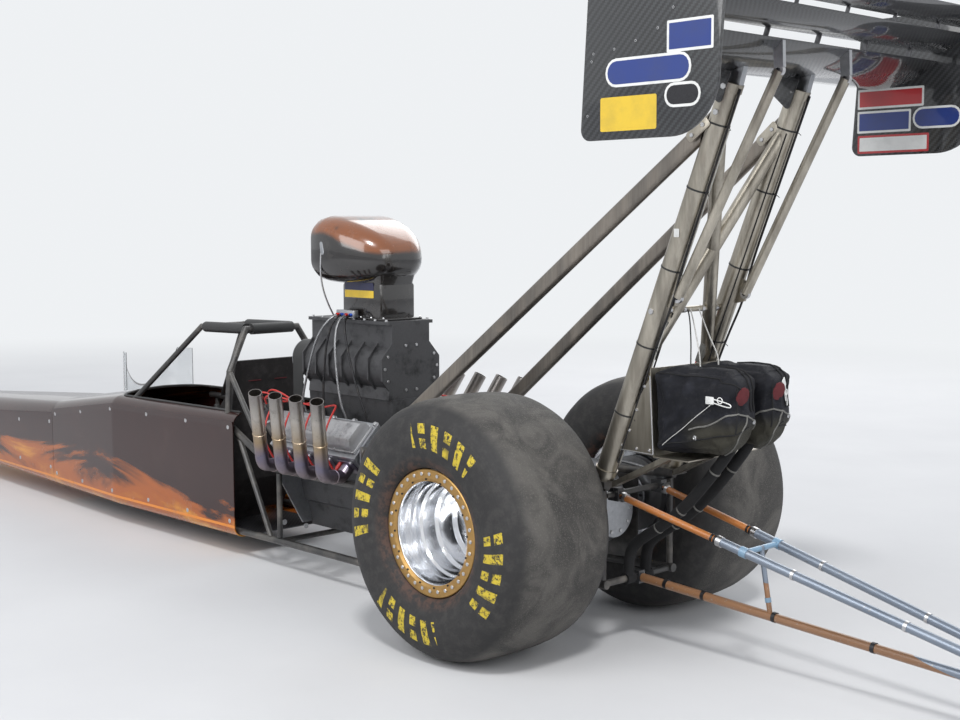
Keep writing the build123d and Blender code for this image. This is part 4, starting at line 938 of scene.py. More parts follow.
def wing():
    """Three planes between two end plates that are screwed to them."""
    half = PLATE_INNER - 0.0005
    for node, row in ELEMENTS.items():
        plane = upright(wing_section(row), -half, half, 0.0009, name=node + "_skin")
        settled(plane, [node], finish="gloss_carbon")
    rake = 0.034
    outline = rounded(
        (
            (PLATE_FRONT, PLATE_LOW, 0.035),
            (PLATE_BACK, PLATE_LOW, 0.172),
            (PLATE_BACK - rake, PLATE_TOP, 0.040),
            (PLATE_FRONT - rake, PLATE_TOP, 0.040),
        ),
        14,
    )
    plates = [upright(outline, side * PLATE_INNER, side * PLATE_OUTER, 0.0028, 3) for side in SIDES]
    piece = merged(plates, "end_plates")
    settled(piece, ["wing_end_plates"], finish="plate_carbon")
    spots = [
        (PLATE_FRONT - 0.030, PLATE_LOW + 0.075),
        (PLATE_FRONT - 0.046, PLATE_LOW + 0.235),
        (PLATE_FRONT - 0.062, PLATE_LOW + 0.445),
    ]
    for node, (x0, z0, x1, z1, belly, _) in ELEMENTS.items():
        count = 4 if node == "wing_main_plane" else 2
        for share in ((i + 0.5) / count for i in range(count)):
            sag = belly * math.sin(math.pi * share) * 0.45
            spots.append((x0 + (x1 - x0) * share, z0 + (z1 - z0) * share - sag))
    face = PLATE_OUTER - 0.0005
    button = (
        (0, 0), (0.0095, 0), (0.009, 0.0018), (0.005, 0.0038), (0.0028, 0.0040),
        (0.0022, 0.0028), (0, 0.0028),
    )
    places = [
        facing(car(x, side * face, z), (0, side, 0)) @ up(-0.0034)
        for side in SIDES
        for x, z in spots
    ]
    screws = repeated(spun(button, 20), places, "end_plate_screws")
    settled(screws, finish="bolt_steel")
    stickers()
    spacers()


def stickers():
    """Plain stickers on the end plates: rounded shapes with a border, and no words."""
    kit = Kit("plain_stickers")
    thick, lift, margin = 0.0003, 0.00025, 0.016
    faces = ((PLATE_OUTER, 1, OUTER_STICKERS), (PLATE_INNER, -1, INNER_STICKERS))
    for side in SIDES:
        for skin_y, way, rows in faces:
            for x, z, wide, high, corner, border, field in rows:
                for inset, raised, finish in ((0.0, 0.0, border), (margin, lift, field)):
                    corner_now = max(corner - inset / 2, 0.002)
                    outline = oblong((wide - inset) / 2, (high - inset) / 2, corner_now)
                    place = car(x, side * (skin_y + way * raised), z)
                    kit.add(slab(outline, thick), finish, place, (0, side * way, 0))
    kit.mount()


def spacers():
    """Thin plates that hold the slots between the wing's planes open."""
    slots = (
        (
            (-1.030, 2.112, 0.003), (-1.052, 2.120, 0.003),
            (-1.066, 2.160, 0.003), (-1.044, 2.152, 0.003),
        ),
        (
            (-1.142, 2.198, 0.002), (-1.158, 2.204, 0.002),
            (-1.168, 2.236, 0.002), (-1.152, 2.230, 0.002),
        ),
    )
    kit = Kit("slot_spacers")
    for y in (-0.56, -0.28, 0, 0.28, 0.56):
        for corners in slots:
            kit.add(upright(rounded(corners), y - 0.0025, y + 0.0025, 0.0008), "drive_dark")
    kit.mount()


# ---------------------------------------------------------------- body


# x, half width, floor, top, corner radius.
BODY_ROWS = (
    (1.850, 0.322, 0.095, 0.700, 0.050),
    (2.950, 0.328, 0.095, 0.690, 0.052),
    (3.700, 0.280, 0.095, 0.585, 0.056),
    (5.400, 0.205, 0.105, 0.465, 0.085),
    (7.350, 0.135, 0.140, 0.395, 0.092),
    (8.180, 0.069, 0.184, 0.283, 0.045),
    (8.280, 0.058, 0.192, 0.266, 0.034),
    (8.310, 0.046, 0.200, 0.254, 0.026),
    (8.3195, 0.026, 0.212, 0.242, 0.014),
)
# Half width of the cockpit's hatch at x.
HATCH = (
    (1.80, 0.300), (2.890, 0.292), (2.930, 0.250), (2.955, 0.170), (2.968, 0.090), (2.975, 0.0),
    (9.0, 0.0),
)
HATCH_XS = (2.1, 2.4, 2.7, 2.889, 2.91, 2.93, 2.945, 2.955, 2.962, 2.968, 2.972)
NOSE_XS = (3.7015, 4.2, 4.8, 5.4, 6.0, 6.7, 7.35, 7.8, 8.18, 8.23, 8.28, 8.296, 8.31, 8.3194)
SEAM = 0.060
FLOOR_HALF = 0.216
SKIN = 0.0038


def between(rows, x):
    """The values of a table at any x between two of its rows."""
    for row, after in zip(rows, rows[1:]):
        if row[0] <= x <= after[0]:
            share = (x - row[0]) / (after[0] - row[0])
            return [a + (b - a) * share for a, b in zip(row, after)]
    raise ValueError(x)


def crowned(x):
    """Half width, floor, shoulder, radius and hatch edge at x, and what lifts y, z to the crown."""
    _, half, low, high, r = between(BODY_ROWS, x)
    crown = 0.10 * half
    top = high - crown

    def lift(y, z):
        return (y, z + crown * (1 - (y / half) ** 2) * (z - low) / (top - low))

    return half, low, top, r, min(between(HATCH, x)[1], half - r), lift


def body_section(x):
    """Closed section of the body at x."""
    half, low, top, r, _, lift = crowned(x)
    corners = [(-half, low, r), (half, low, r), (half, top, r), (-half, top, r)]
    return [car(x, *lift(y, z)) for y, z in rounded(corners, 9)]


def side_line(x, side):
    """Half a section as two lines: from the hatch's edge to the seam, and on to the floor."""
    half, low, top, r, start, lift = crowned(x)
    reach = half - r
    seam_z = between(BODY_ROWS, x)[3] - SEAM
    turns = [QUARTER * i / 8 for i in range(9)]
    line = [(start + (reach - start) * i / 6, top) for i in range(6)]
    line += [(reach + r * math.sin(t), top - r + r * math.cos(t)) for t in turns]
    cut = len(line)
    line += [(half, seam_z + 0.001), (half, seam_z - 0.002)]
    line += [(half, seam_z - 0.002 + (low + r - seam_z) * i / 4) for i in (1, 2, 3, 4)]
    line += [(reach + r * math.cos(t), low + r - r * math.sin(t)) for t in turns[1:]]
    line += [(FLOOR_HALF + (reach - FLOOR_HALF) * i / 3, low) for i in (2, 1, 0)]
    places = [car(x, side * y, z) for y, z in (lift(*point) for point in line)]
    return places[: cut + 1], places[cut + 1 :]


def outward(piece):
    """Turns an open skin's faces away from the body's middle."""
    middle_z, score = 0.4, 0
    for face in piece.data.polygons:
        away = Vector((0, face.center.y, (face.center.z - middle_z) * 1.5))
        score += face.normal.dot(away) * face.area
    if score < 0:
        with editing(piece):
            bpy.ops.mesh.flip_normals()
    return piece


def open_skin(lines):
    """Open skin over a row of lines, its faces outward."""
    piece = drawn(lines, closed=False)
    with editing(piece, "EDGE"):
        bpy.ops.mesh.bridge_edge_loops()
    return outward(closed_up(piece))


def walled(piece):
    """Gives an open skin its thickness, inward."""
    return finished(applied(piece, "SOLIDIFY", thickness=SKIN, offset=-1), smooth=42)


def body():
    """Panels over the frame with their seams, fasteners and the hatch's edge trim."""
    tops, flanks = [], []
    for side in SIDES:
        lines = [side_line(x, side) for x in (1.851, *HATCH_XS, 2.9749, 3.1, 3.3, 3.5, 3.6985)]
        tops.append(open_skin([upper for upper, _ in lines]))
        flanks.append(walled(open_skin([lower for _, lower in lines])))
    top = walled(outward(closed_up(merged(tops, "body_top_skin"))))
    flanks = merged(flanks, "body_flanks")
    nose = lofted([body_section(x) for x in NOSE_XS], name="nose_skin")
    for piece, node in ((top, "body_top"), (flanks, "body_sides"), (nose, "nose")):
        settled(piece, [node], finish="body_gloss")
    fasteners = []
    for side in SIDES:
        for x in (1.89, 2.25, 2.61, 2.97, 3.33, 3.66, 3.74, 4.15):
            _, half, low, high, _ = between(BODY_ROWS, x)
            spots = (high - SEAM - 0.028, low + 0.075) if x < 3.7 else (high - 0.13, low + 0.10)
            for z in spots:
                fasteners.append(facing(car(x, side * (half - 0.0008), z), (0, side, 0)))
    head = (
        (0, -0.002), (0.011, -0.002), (0.0105, 0.0012), (0.008, 0.0022), (0.0045, 0.0014),
        (0, 0.0014),
    )
    turns = repeated(spun(head, 18), fasteners, "quarter_turns")
    settled(turns, finish="bolt_steel")
    rim = []
    for x in (1.853, *HATCH_XS, 2.9745):
        _, _, top, _, edge, lift = crowned(x)
        rim.append((x, *lift(edge, top)))
    rim += [(x, -y, z) for x, y, z in reversed(rim)]
    trim = tube([car(x, y, z + 0.003) for x, y, z in rim], 0.0055, 0, name="hatch_trim")
    settled(trim, finish="tie_black")


# ---------------------------------------------------------------- engine


CRANK_Z, ROTOR_Z = 0.375, 0.930
LEAN = math.sqrt(0.5)
ENGINE_MIDDLE = 1.240
FIRST_PORT, BORE = 1.027, 0.142
HAT_OUTSIDE = (
    (1.0030, 0.055, 1.368, 1.418, 0.024),
    (1.008, 0.082, 1.350, 1.438, 0.042),
    (1.022, 0.112, 1.332, 1.462, 0.062),
    (1.046, 0.140, 1.317, 1.486, 0.078),
    (1.086, 0.172, 1.304, 1.514, 0.092),
    (1.140, 0.201, 1.297, 1.541, 0.104),
    (1.196, 0.220, 1.293, 1.562, 0.110),
    (1.255, 0.2275, 1.292, 1.577, 0.106),
    (1.310, 0.2270, 1.296, 1.584, 0.096),
    (1.350, 0.2240, 1.304, 1.576, 0.084),
    (1.368, 0.2200, 1.318, 1.562, 0.074),
    (1.3745, 0.2120, 1.330, 1.548, 0.068),
)
HAT_INSIDE = (
    (1.3745, 0.2120, 1.330, 1.548, 0.070),
    (1.3700, 0.2050, 1.338, 1.541, 0.064),
    (1.3500, 0.1960, 1.342, 1.532, 0.056),
    (1.2660, 0.1830, 1.338, 1.518, 0.046),
)


def bank(side, along, out):
    """Across and up at a place on a cylinder bank: up the bank, then outward from its middle."""
    return side * LEAN * (along + out), CRANK_Z + LEAN * (along - out)


def on_bank(x, side, along, out, way="up"):
    """Matrix at a place on a bank whose Z runs up the bank or out of its side."""
    rise = LEAN if way == "up" else -LEAN
    place = car(x, *bank(side, along, out))
    return facing(place, (0, side * LEAN, rise), "X" if way == "up" else "Y")


def eased(points, reach):
    """Path whose corners have a control point on each side, for a tight smooth bend."""
    path = [points[0]]
    for before, here, after in zip(points, points[1:], points[2:]):
        near = []
        for other in (before, after):
            arm = other - here
            near.append(here + arm.normalized() * min(reach, arm.length * 0.45))
        path += [near[0], here, near[1]]
    return [*path, points[-1]]


def header(kit, side, i):
    """One smooth pipe with an open mouth, its weld beads and its flange."""
    x = FIRST_PORT + i * BORE
    port, elbow = bank(side, 0.317, 0.095), bank(side, 0.317, 0.157)
    bends = ((x - 0.040, side * 0.462, 0.512), (x - 0.170, side * 0.585, 0.845))
    points = [car(*bend) for bend in ((x, *port), (x, *elbow), *bends)]
    tip = points[-1]
    way = (tip - points[-2]).normalized()
    pipe = tube(eased(points, 0.085), 0.029, 3, 5, 5)
    with editing(pipe, chosen="DESELECT"):
        pass
    for face in pipe.data.polygons:
        face.select = face.normal.dot(way) > 0.95 and (face.center - tip).length < 0.035
    with editing(pipe, chosen=None):
        bpy.ops.mesh.inset(thickness=0.0028)
        bpy.ops.mesh.extrude_region_move(TRANSFORM_OT_translate={"value": way * -0.15})
    kit.add(finished(pipe, smooth=50), "pipe_steel")
    bead = ((0.0285, -0.003), (0.0305, -0.002), (0.0312, 0), (0.0305, 0.002), (0.0285, 0.003))
    rise = points[2] - points[1]
    welds = [facing(tip - way * 0.21, way), facing(points[1] + rise * 0.42, rise)]
    kit.copies(spun(bead, 26), welds, "pipe_steel")
    at_port = on_bank(x, side, 0.317, 0.0952, "out")
    kit.add(slab(oblong(0.052, 0.040, 0.018), 0.009, 0.0012), "pipe_steel", at_port)
    ends = [at_port @ shift(a * 0.041, a * 0.028, 0.009) for a in SIDES]
    kit.copies(hex_bolt(0.013, 0.008), ends)


def headers():
    kit = Kit("zoomie_pipes")
    for side in SIDES:
        for i in range(4):
            header(kit, side, i)
    kit.mount(["headers"])


def hat():
    """Carbon scoop with a rolled lip, three throttle plates, its linkage and its neck."""

    def ring(x, half, low, high, r):
        corners = [(-half, low, r), (half, low, r), (half, high, r), (-half, high, r)]
        return [car(x, y, z) for y, z in rounded(corners, 8)]

    kit = Kit("injector_scoop")
    rows = (HAT_OUTSIDE, HAT_INSIDE)
    shell = merged([lofted([ring(*row) for row in skin], caps=False) for skin in rows], "shell")
    with editing(shell, "EDGE"):
        bpy.ops.mesh.remove_doubles(threshold=0.00005)
        bpy.ops.mesh.select_all(action="SELECT")
        bpy.ops.mesh.fill_holes(sides=0)
    kit.add(finished(closed_up(shell), smooth=50), "hat_gloss")
    bore = ((0.050, 0), (0.062, 0), (0.062, 0.010), (0.058, 0.014), (0.052, 0.012), (0.050, 0.006))
    disc = ((0, -0.0012), (0.0495, -0.0012), (0.0495, 0.0012), (0, 0.0012))
    height = 1.428
    for y in (-0.115, 0.0, 0.115):
        kit.turn(bore, 36, "machined_aluminium", car(1.2662, y, height), FORWARD)
        kit.turn(disc, 36, "cover_silver", car(1.274, y, height), (1, 0, 0.22))
        shaft = [car(1.2755, y + end, height) for end in (-0.049, 0.049)]
        kit.line(shaft, 0.0045, "bolt_steel", sides=3, smooth=0)
    neck = Matrix.Translation(car(1.175, 0, 1.214))
    kit.add(block((0.262, 0.198, 0.160), 0.014), "hat_gloss", neck)
    collar = []
    for z, grow in ((1.262, -0.004), (1.296, 0.0), (1.330, 0.010)):
        outline = oblong(0.130 + grow, 0.098 + grow, 0.022 + grow, 1.175)
        collar.append([car(x, y, z) for x, y in outline])
    kit.add(lofted(collar), "hat_gloss")
    flange = Matrix.Translation(car(1.160, 0, 1.139))
    kit.add(block((0.306, 0.214, 0.010), 0.003), "hat_gloss", flange)
    for side in SIDES:
        for z, finish in ((1.279, "label_navy"), (1.245, "label_yellow")):
            label = slab(oblong(0.098, 0.0158, 0.003), 0.0012)
            kit.add(label, finish, car(1.186, side * 0.0992, z), (0, side, 0))
    screws = [
        Matrix.Translation(car(x, side * 0.1035, 1.1435))
        for x in (1.018, 1.10, 1.17, 1.252)
        for side in SIDES
    ]
    kit.copies(cap_screw(0.0045, 0.005), screws)
    arm = (
        (1.262, 1.416, 0.010), (1.290, 1.416, 0.010), (1.296, 1.472, 0.008), (1.278, 1.472, 0.008),
    )
    for side in SIDES:
        kit.add(upright(rounded(arm), side * 0.2255, side * 0.2283, 0.0008), "machined_aluminium")
    rod = (
        (1.287, 0.2265, 1.424), (1.300, 0.2262, 1.330),
        (1.318, 0.180, 1.215), (1.330, 0.130, 1.150),
    )
    kit.line([car(*point) for point in rod], 0.0040, "bolt_steel", sides=3)
    kit.mount(["injector_hat"])


def valve_covers():
    """Ribbed cast covers on both banks, with their screws."""
    kit = Kit("rocker_covers")
    outline = rounded(
        (
            (-0.066, 0, 0.0), (0.066, 0, 0.0), (0.066, 0.040, 0.022),
            (0.044, 0.0665, 0.016), (-0.044, 0.0665, 0.016), (-0.066, 0.040, 0.022),
        )
    )
    for side in SIDES:
        base = on_bank(ENGINE_MIDDLE, side, 0.377, 0)
        kit.add(block((0.146, 0.568, 0.010), 0.003), "cover_silver", base @ up(0.0055))
        cover = slab(outline, 0.556, 0.004)
        kit.add(cover, "cover_silver", base @ turned(QUARTER, "X") @ up(-0.278))
        ribs = [base @ shift(0, y * 0.07, 0.0662) for y in range(-3, 4)]
        kit.copies(block((0.070, 0.010, 0.004), 0.0015), ribs, "cover_silver")
        rows = range(-5, 6, 2)
        spots = [base @ shift(a * 0.0685, y * 0.052, 0.0100) for a in SIDES for y in rows]
        kit.copies(hex_bolt(0.010, 0.007), spots)
    kit.mount(["valve_covers"])


def belt_drive():
    """Toothed belt on two flanged pulleys."""
    back, width, r, teeth = 1.624, 0.074, 0.080, 60
    run = ROTOR_Z - CRANK_Z

    def loop(offset, tooth):
        points = []
        reach = r + offset
        bend = math.pi * reach
        for i in range(teeth * 4):
            s = (2 * run + ROUND * reach) * i / (teeth * 4)
            out = reach - (tooth if i % 4 < 2 else 0)
            if s < run:
                y, z = out, CRANK_Z + s
            elif s < run + bend:
                t = (s - run) / reach
                y, z = out * math.cos(t), ROTOR_Z + out * math.sin(t)
            elif s < 2 * run + bend:
                y, z = -out, ROTOR_Z - (s - run - bend)
            else:
                t = math.pi + (s - 2 * run - bend) / reach
                y, z = out * math.cos(t), CRANK_Z + out * math.sin(t)
            points.append(car(back, y, z))
        return points

    belt = drawn([loop(0.0048, 0), loop(0.001, 0.0022)])
    with editing(belt, "EDGE"):
        bpy.ops.mesh.bridge_edge_loops()
        bpy.ops.mesh.select_all(action="SELECT")
        bpy.ops.mesh.extrude_region_move(TRANSFORM_OT_translate={"value": (width, 0, 0)})
    kit = Kit("belt_and_pulleys")
    kit.add(finished(closed_up(belt), smooth=30), "tie_black")
    front = 1.705
    for z, rear in ((ROTOR_Z, 1.620), (CRANK_Z, 1.640)):
        long = front - rear
        profile = (
            (0, 0), (0.0848, 0), (0.0848, 0.0035), (0.0785, 0.0045), (0.0785, long - 0.0055),
            (0.0848, long - 0.0045), (0.0848, long - 0.0015), (0.070, long - 0.0005),
            (0.060, long - 0.012), (0.040, long - 0.014), (0.034, long - 0.002), (0, long - 0.001),
        )
        kit.turn(profile, 64, "machined_aluminium", car(rear, 0, z), FORWARD)
        bolts = ring_of(6, 0.049, facing(car(front - 0.0135, 0, z), FORWARD))
        kit.copies(hex_bolt(0.012, 0.007), bolts, "bolt_black")
    kit.mount(["blower_drive"])


# ---------------------------------------------------------------- parachute packs


PACK_HALF = 0.089
PACK_Y = 0.100
REAR = -0.95


def pack(side):
    """Stuffed pack, swelled by cloth simulation inside its CAD solid's space."""
    outline = rounded(
        (
            (-0.5510, 0.762, 0.014), (-0.5350, 1.048, 0.016), (-0.897, 1.052, 0.046),
            (-0.899, 0.832, 0.050), (-0.830, 0.782, 0.040),
        ),
        6,
    )
    middle = side * PACK_Y
    piece = upright(outline, middle - PACK_HALF, middle + PACK_HALF, 0.018, 4)
    applied(piece, "REMESH", mode="VOXEL", voxel_size=0.0062)
    swell(piece, pressure=4.0, cap=0.010)
    crease(piece, side, middle)
    return finished(piece, levels=1, smooth=180)


def swell(piece, pressure, cap):
    """Twenty frames of cloth under pressure, with no point moved past the cap."""
    start = [v.co.copy() for v in piece.data.vertices]
    cloth = piece.modifiers.new("cloth", "CLOTH")
    settings = cloth.settings
    settings.quality = 5
    settings.mass = 0.3
    settings.tension_stiffness = settings.compression_stiffness = 6
    settings.bending_stiffness = 0.2
    settings.use_pressure, settings.uniform_pressure_force = True, pressure
    settings.effector_weights.gravity = 0
    for step in range(1, 21):
        bpy.context.scene.frame_set(step)
    only(piece)
    bpy.ops.object.modifier_apply(modifier=cloth.name)
    bpy.context.scene.frame_set(1)
    for vertex, before in zip(piece.data.vertices, start):
        moved = vertex.co - before
        if moved.length > cap:
            vertex.co = before + moved.normalized() * cap


def crease(piece, side, middle):
    """Slants a pack's rear, spreads its front against the plate and pulls soft folds into it."""

    def share(value):
        return min(max(value, 0), 1)

    for vertex in piece.data.vertices:
        x, y, z = vertex.co.x - AXLE_X, vertex.co.y - middle, vertex.co.z
        fan = math.atan2(z - 0.750, x + 0.530)
        reach = math.hypot(z - 0.750, x + 0.530)
        ridge = math.sin(fan * 21 + math.sin(reach * 24) * 1.1) * min(1, reach * 5)
        drape = math.sin(x * 34 + math.sin(z * 23 + 1.0) * 1.4) * math.sin(z * 15 + 0.4)
        pucker = math.sin(x * 88 + z * 61) * math.sin(z * 97 - x * 43)
        depth = 0.0046 * ridge + 0.0042 * drape + 0.0012 * pucker - 0.0046
        lean = Vector((0, math.copysign(share((abs(y) - 0.055) / 0.03), y), 0))
        lean.z = 0.55 if z > 1.0 else (-0.45 if z < 0.80 else 0)
        if x < -0.86:
            lean.x = -0.7
        vertex.co += lean * depth
        vertex.co.x += 0.052 * share((-0.60 - x) / 0.28) ** 2 * (0.5 - y / (2 * PACK_HALF))
        if y * side > 0.04:
            vertex.co.y += side * 0.0135 * share((x + 0.66) / 0.10)


def on_cloth(bag, point, lift=0.0):
    """The place on a pack's skin that is nearest to a point, and the way out of it there."""
    _, place, normal, _ = bag.closest_point_on_mesh(point)
    return place + normal * lift, normal


def pack_trim(kit, side, bag):
    """Piping, seams, straps, patch, snaps and pin on one pack."""
    out, mid = side * 0.20, side * PACK_Y
    left, right = mid + 0.11, mid - 0.11
    sewn = (
        (0.0032, "strap_grey", (
            (-0.700, left, 0.848), (-0.790, left, 0.884), (-0.850, left, 0.918),
            (-0.93, left - 0.03, 0.936), (REAR, mid + 0.03, 0.926), (-0.94, mid - 0.02, 0.900),
            (-0.92, right + 0.035, 0.868), (-0.86, right, 0.840))),
        (0.0028, "strap_grey", (
            (REAR, mid + 0.045, 0.930), (REAR, mid + 0.050, 0.880), (-0.93, mid + 0.050, 0.825),
            (-0.86, mid + 0.040, 0.760), (-0.80, mid + 0.020, 0.740))),
        (0.0024, "strap_black", (
            (-0.556, out, 0.790), (-0.66, out, 0.800), (-0.745, out, 0.822),
            (-0.840, out, 0.846), (-0.92, left - 0.02, 0.846), (REAR, mid, 0.836))),
        (0.0024, "strap_black", (
            (-0.550, out, 1.046), (-0.68, out, 1.050), (-0.80, out, 1.046), (-0.880, out, 1.020),
            (REAR, mid + 0.06, 1.004), (REAR, mid - 0.04, 1.000))),
        (0.0026, "strap_black", (
            (-0.93, left, 1.010), (-0.93, left, 0.960), (-0.93, left, 0.900),
            (-0.91, left, 0.850))),
        *((0.0036, "strap_black", (
            (-0.66, y, 1.09), (-0.80, y, 1.09), (-0.87, y, 1.09), (REAR, y, 1.05),
            (REAR, y, 0.985), (REAR, y, 0.945))) for y in (mid - 0.022, mid - 0.058)),
    )
    for radius, finish, route in sewn:
        points = path_points([car(*point) for point in route])
        kit.line([on_cloth(bag, p, radius * 0.35)[0] for p in points], radius, finish, fine=2)
    patch = ((0, -0.004), (0.031, -0.004), (0.031, 0.0012), (0.028, 0.0022), (0, 0.0022))
    kit.turn(patch, 32, "strap_maroon", *on_cloth(bag, car(REAR, mid + 0.052, 0.965), 0.0006))
    snap = ((0.003, -0.001), (0.0085, -0.001), (0.008, 0.0030), (0.005, 0.0042), (0.003, 0.0030))
    for point in ((-0.722, out, 0.828), (REAR, mid - 0.040, 0.878)):
        kit.turn(snap, 18, "bolt_steel", *on_cloth(bag, car(*point)))
    if side > 0:
        place, _ = on_cloth(bag, car(-0.830, 0.21, 0.952))
        face = facing(place + Vector((0, 0.0035, 0)), ACROSS)
    else:
        place, normal = on_cloth(bag, car(REAR, mid - 0.022, 0.962), 0.0050)
        face = facing(place, (normal.x, normal.y, 0)) @ turned(-1.0)
    kit.add(safety_pin(), "label_white", face)


def safety_pin():
    """Safing pin with its ring and tag, flat on XY."""
    tag = placed(block((0.034, 0.026, 0.004), 0.0016), shift(-0.046, 0.004, 0))
    loop = (
        (-0.030, 0.009), (0.012, 0.003), (0.038, -0.003), (0.041, -0.010), (0.034, -0.014),
        (0.002, -0.010), (-0.031, -0.003),
    )
    wire = tube([Vector((x, y, 0)) for x, y in loop], 0.0022, 3, 2, 8)
    thick = 0.0018
    turns = [ROUND * i / 10 for i in range(10)]
    ring = spun([(0.010 + thick * math.cos(t), thick * math.sin(t)) for t in turns], 22)
    return merged([tag, wire, placed(ring, shift(-0.004, 0.007, 0.001))], "pin")


def cord_of(name, points, radius, finish):
    """Cord as one smooth open spline."""
    cord = curved([points], False, 3, radius, 2, 8, name)
    return settled(cord, finish=finish)


def packs():
    bags = both(pack)
    trim = Kit("pack_trim")
    for side, bag in zip(SIDES, bags):
        pack_trim(trim, side, bag)
    route = (
        (-0.792, 0.944), (-0.770, 0.928), (-0.725, 0.896), (-0.668, 0.852), (-0.616, 0.809),
        (-0.5885, 0.7845),
    )
    points = [on_cloth(bags[0], car(x, 0.21, z), 0.0028)[0] for x, z in route]
    trim.mount()
    cloth = merged(bags, "chute_packs")
    settled(cloth, ["parachute_packs"], finish="pack_cloth")
    lanyard = cord_of("pin_lanyard", points, 0.0012, "strap_white")


def tethers():
    """Two sleeved straps from the packs down to a cross tube, with sewn bands."""
    kit = Kit("chute_tethers")
    route = (
        (-0.800, 0.845), (-0.776, 0.792), (-0.696, 0.690), (-0.599, 0.579), (-0.501, 0.490),
        (-0.390, 0.418), (-0.330, 0.372), (-0.312, 0.320), (-0.310, 0.262),
    )
    bands = (
        (-0.697, 0.691, (0.72, 0, -1)),
        (-0.552, 0.534, (1, 0, -0.85)),
        (-0.450, 0.456, (1, 0, -0.70)),
    )
    for y in (0.048, -0.048):
        kit.line([car(x, y, z) for x, z in route], 0.0205, "strap_black", sides=5)
        kit.band(car(-0.310, y, 0.249), ACROSS, 0.0165, 0.044, 0.006, "strap_black")
        for x, z, way in bands:
            kit.band(car(x, y, z), way, 0.0205, 0.006, 0.0008, "strap_grey")
    kit.mount()


# ---------------------------------------------------------------- front wheels and wheelie wheels


HUB_X, HUB_Z = 7.62, 0.286


def front_wheels():
    """Thin drilled discs with their narrow tyres."""
    rim = (
        (0.0130, 0.0355), (0.030, 0.0355), (0.034, 0.031), (0.036, 0.012), (0.060, 0.008),
        (0.150, 0.0045), (0.176, 0.010), (0.190, 0.018), (0.205, 0.020), (0.2155, 0.0295),
        (0.2155, -0.0295), (0.205, -0.020), (0.190, -0.012), (0.176, 0.002), (0.150, -0.0035),
        (0.060, -0.008), (0.036, -0.012), (0.034, -0.031), (0.030, -0.0355), (0.0130, -0.0355),
    )
    wall = (
        (0.2160, 0.0255), (0.222, 0.0292), (0.240, 0.0298), (0.262, 0.0296), (0.274, 0.0285),
        (0.2805, 0.0250), (0.2840, 0.0170), (0.2858, 0.0060),
    )
    hole = ((0, -0.03), (0.017, -0.03), (0.017, 0.03), (0, 0.03))
    for side, word in WORDS.items():
        body, place = f"front_wheel_{word}", facing(car(HUB_X, side * 0.430, HUB_Z), (0, side, 0))
        disc = spun(rim, 72, bevel=0.0008)
        cutter = repeated(spun(hole, 20), ring_of(12, 0.118, Matrix.Identity(4)))
        applied(disc, "BOOLEAN", object=cutter, solver="EXACT")
        bpy.data.objects.remove(cutter)
        wheel = Kit(f"front_rim_{word}")
        wheel.add(finished(disc, smooth=35), "machined_aluminium", place)
        wheel.copies(hex_bolt(0.013, 0.008), ring_of(5, 0.050, place @ up(0.009)))
        wheel.mount([body], body)
        tyre = placed(spun(upper_and_lower(wall), 96, name=f"front_slick_{word}"), place)
        settled(tyre, [f"front_tyre_{word}"], body, "front_rubber")


def wheelie_rollers():
    profile = (
        (0.0083, 0.0155), (0.020, 0.0155), (0.022, 0.012), (0.034, 0.010), (0.037, 0.0145),
        (0.047, 0.0155), (0.0525, 0.0130), (0.0548, 0.0070),
    )
    around = upper_and_lower(profile)
    around.insert(len(profile), (0.0549, 0))
    places = [facing(car(-1.98, side * 0.08, 0.118), (0, side, 0)) for side in SIDES]
    wheels = repeated(spun(around, 48), places, "wheelie_rollers")
    settled(wheels, ["wheelie_wheels"], "wheelie_wheels", "roller_plastic")


# ---------------------------------------------------------------- the wing's stand


STRUT_Y, STRUT_R = 0.19, 0.037
STRUT_WAY = Vector((-0.370, 0, 0.929))
CROSS_Z = 1.248
# Width at the packs, x at their top, length.
RELEASE_CABLES = ((0.048, -0.628, 0.212), (-0.048, -0.634, 0.214), (0.078, -0.610, 0.209))


def stand(z, side=1, out=0.0, y_out=0.0):
    """A point of a main strut's centre line; out is rearward, square to the strut."""
    share = (z - 0.61) / (2.025 - 0.61)
    x = -0.3 + (-0.864 + 0.3) * share
    return car(x - out * 0.929, side * STRUT_Y + y_out, z - out * 0.370)


def sideways(distance):
    return Vector((0, distance, 0))


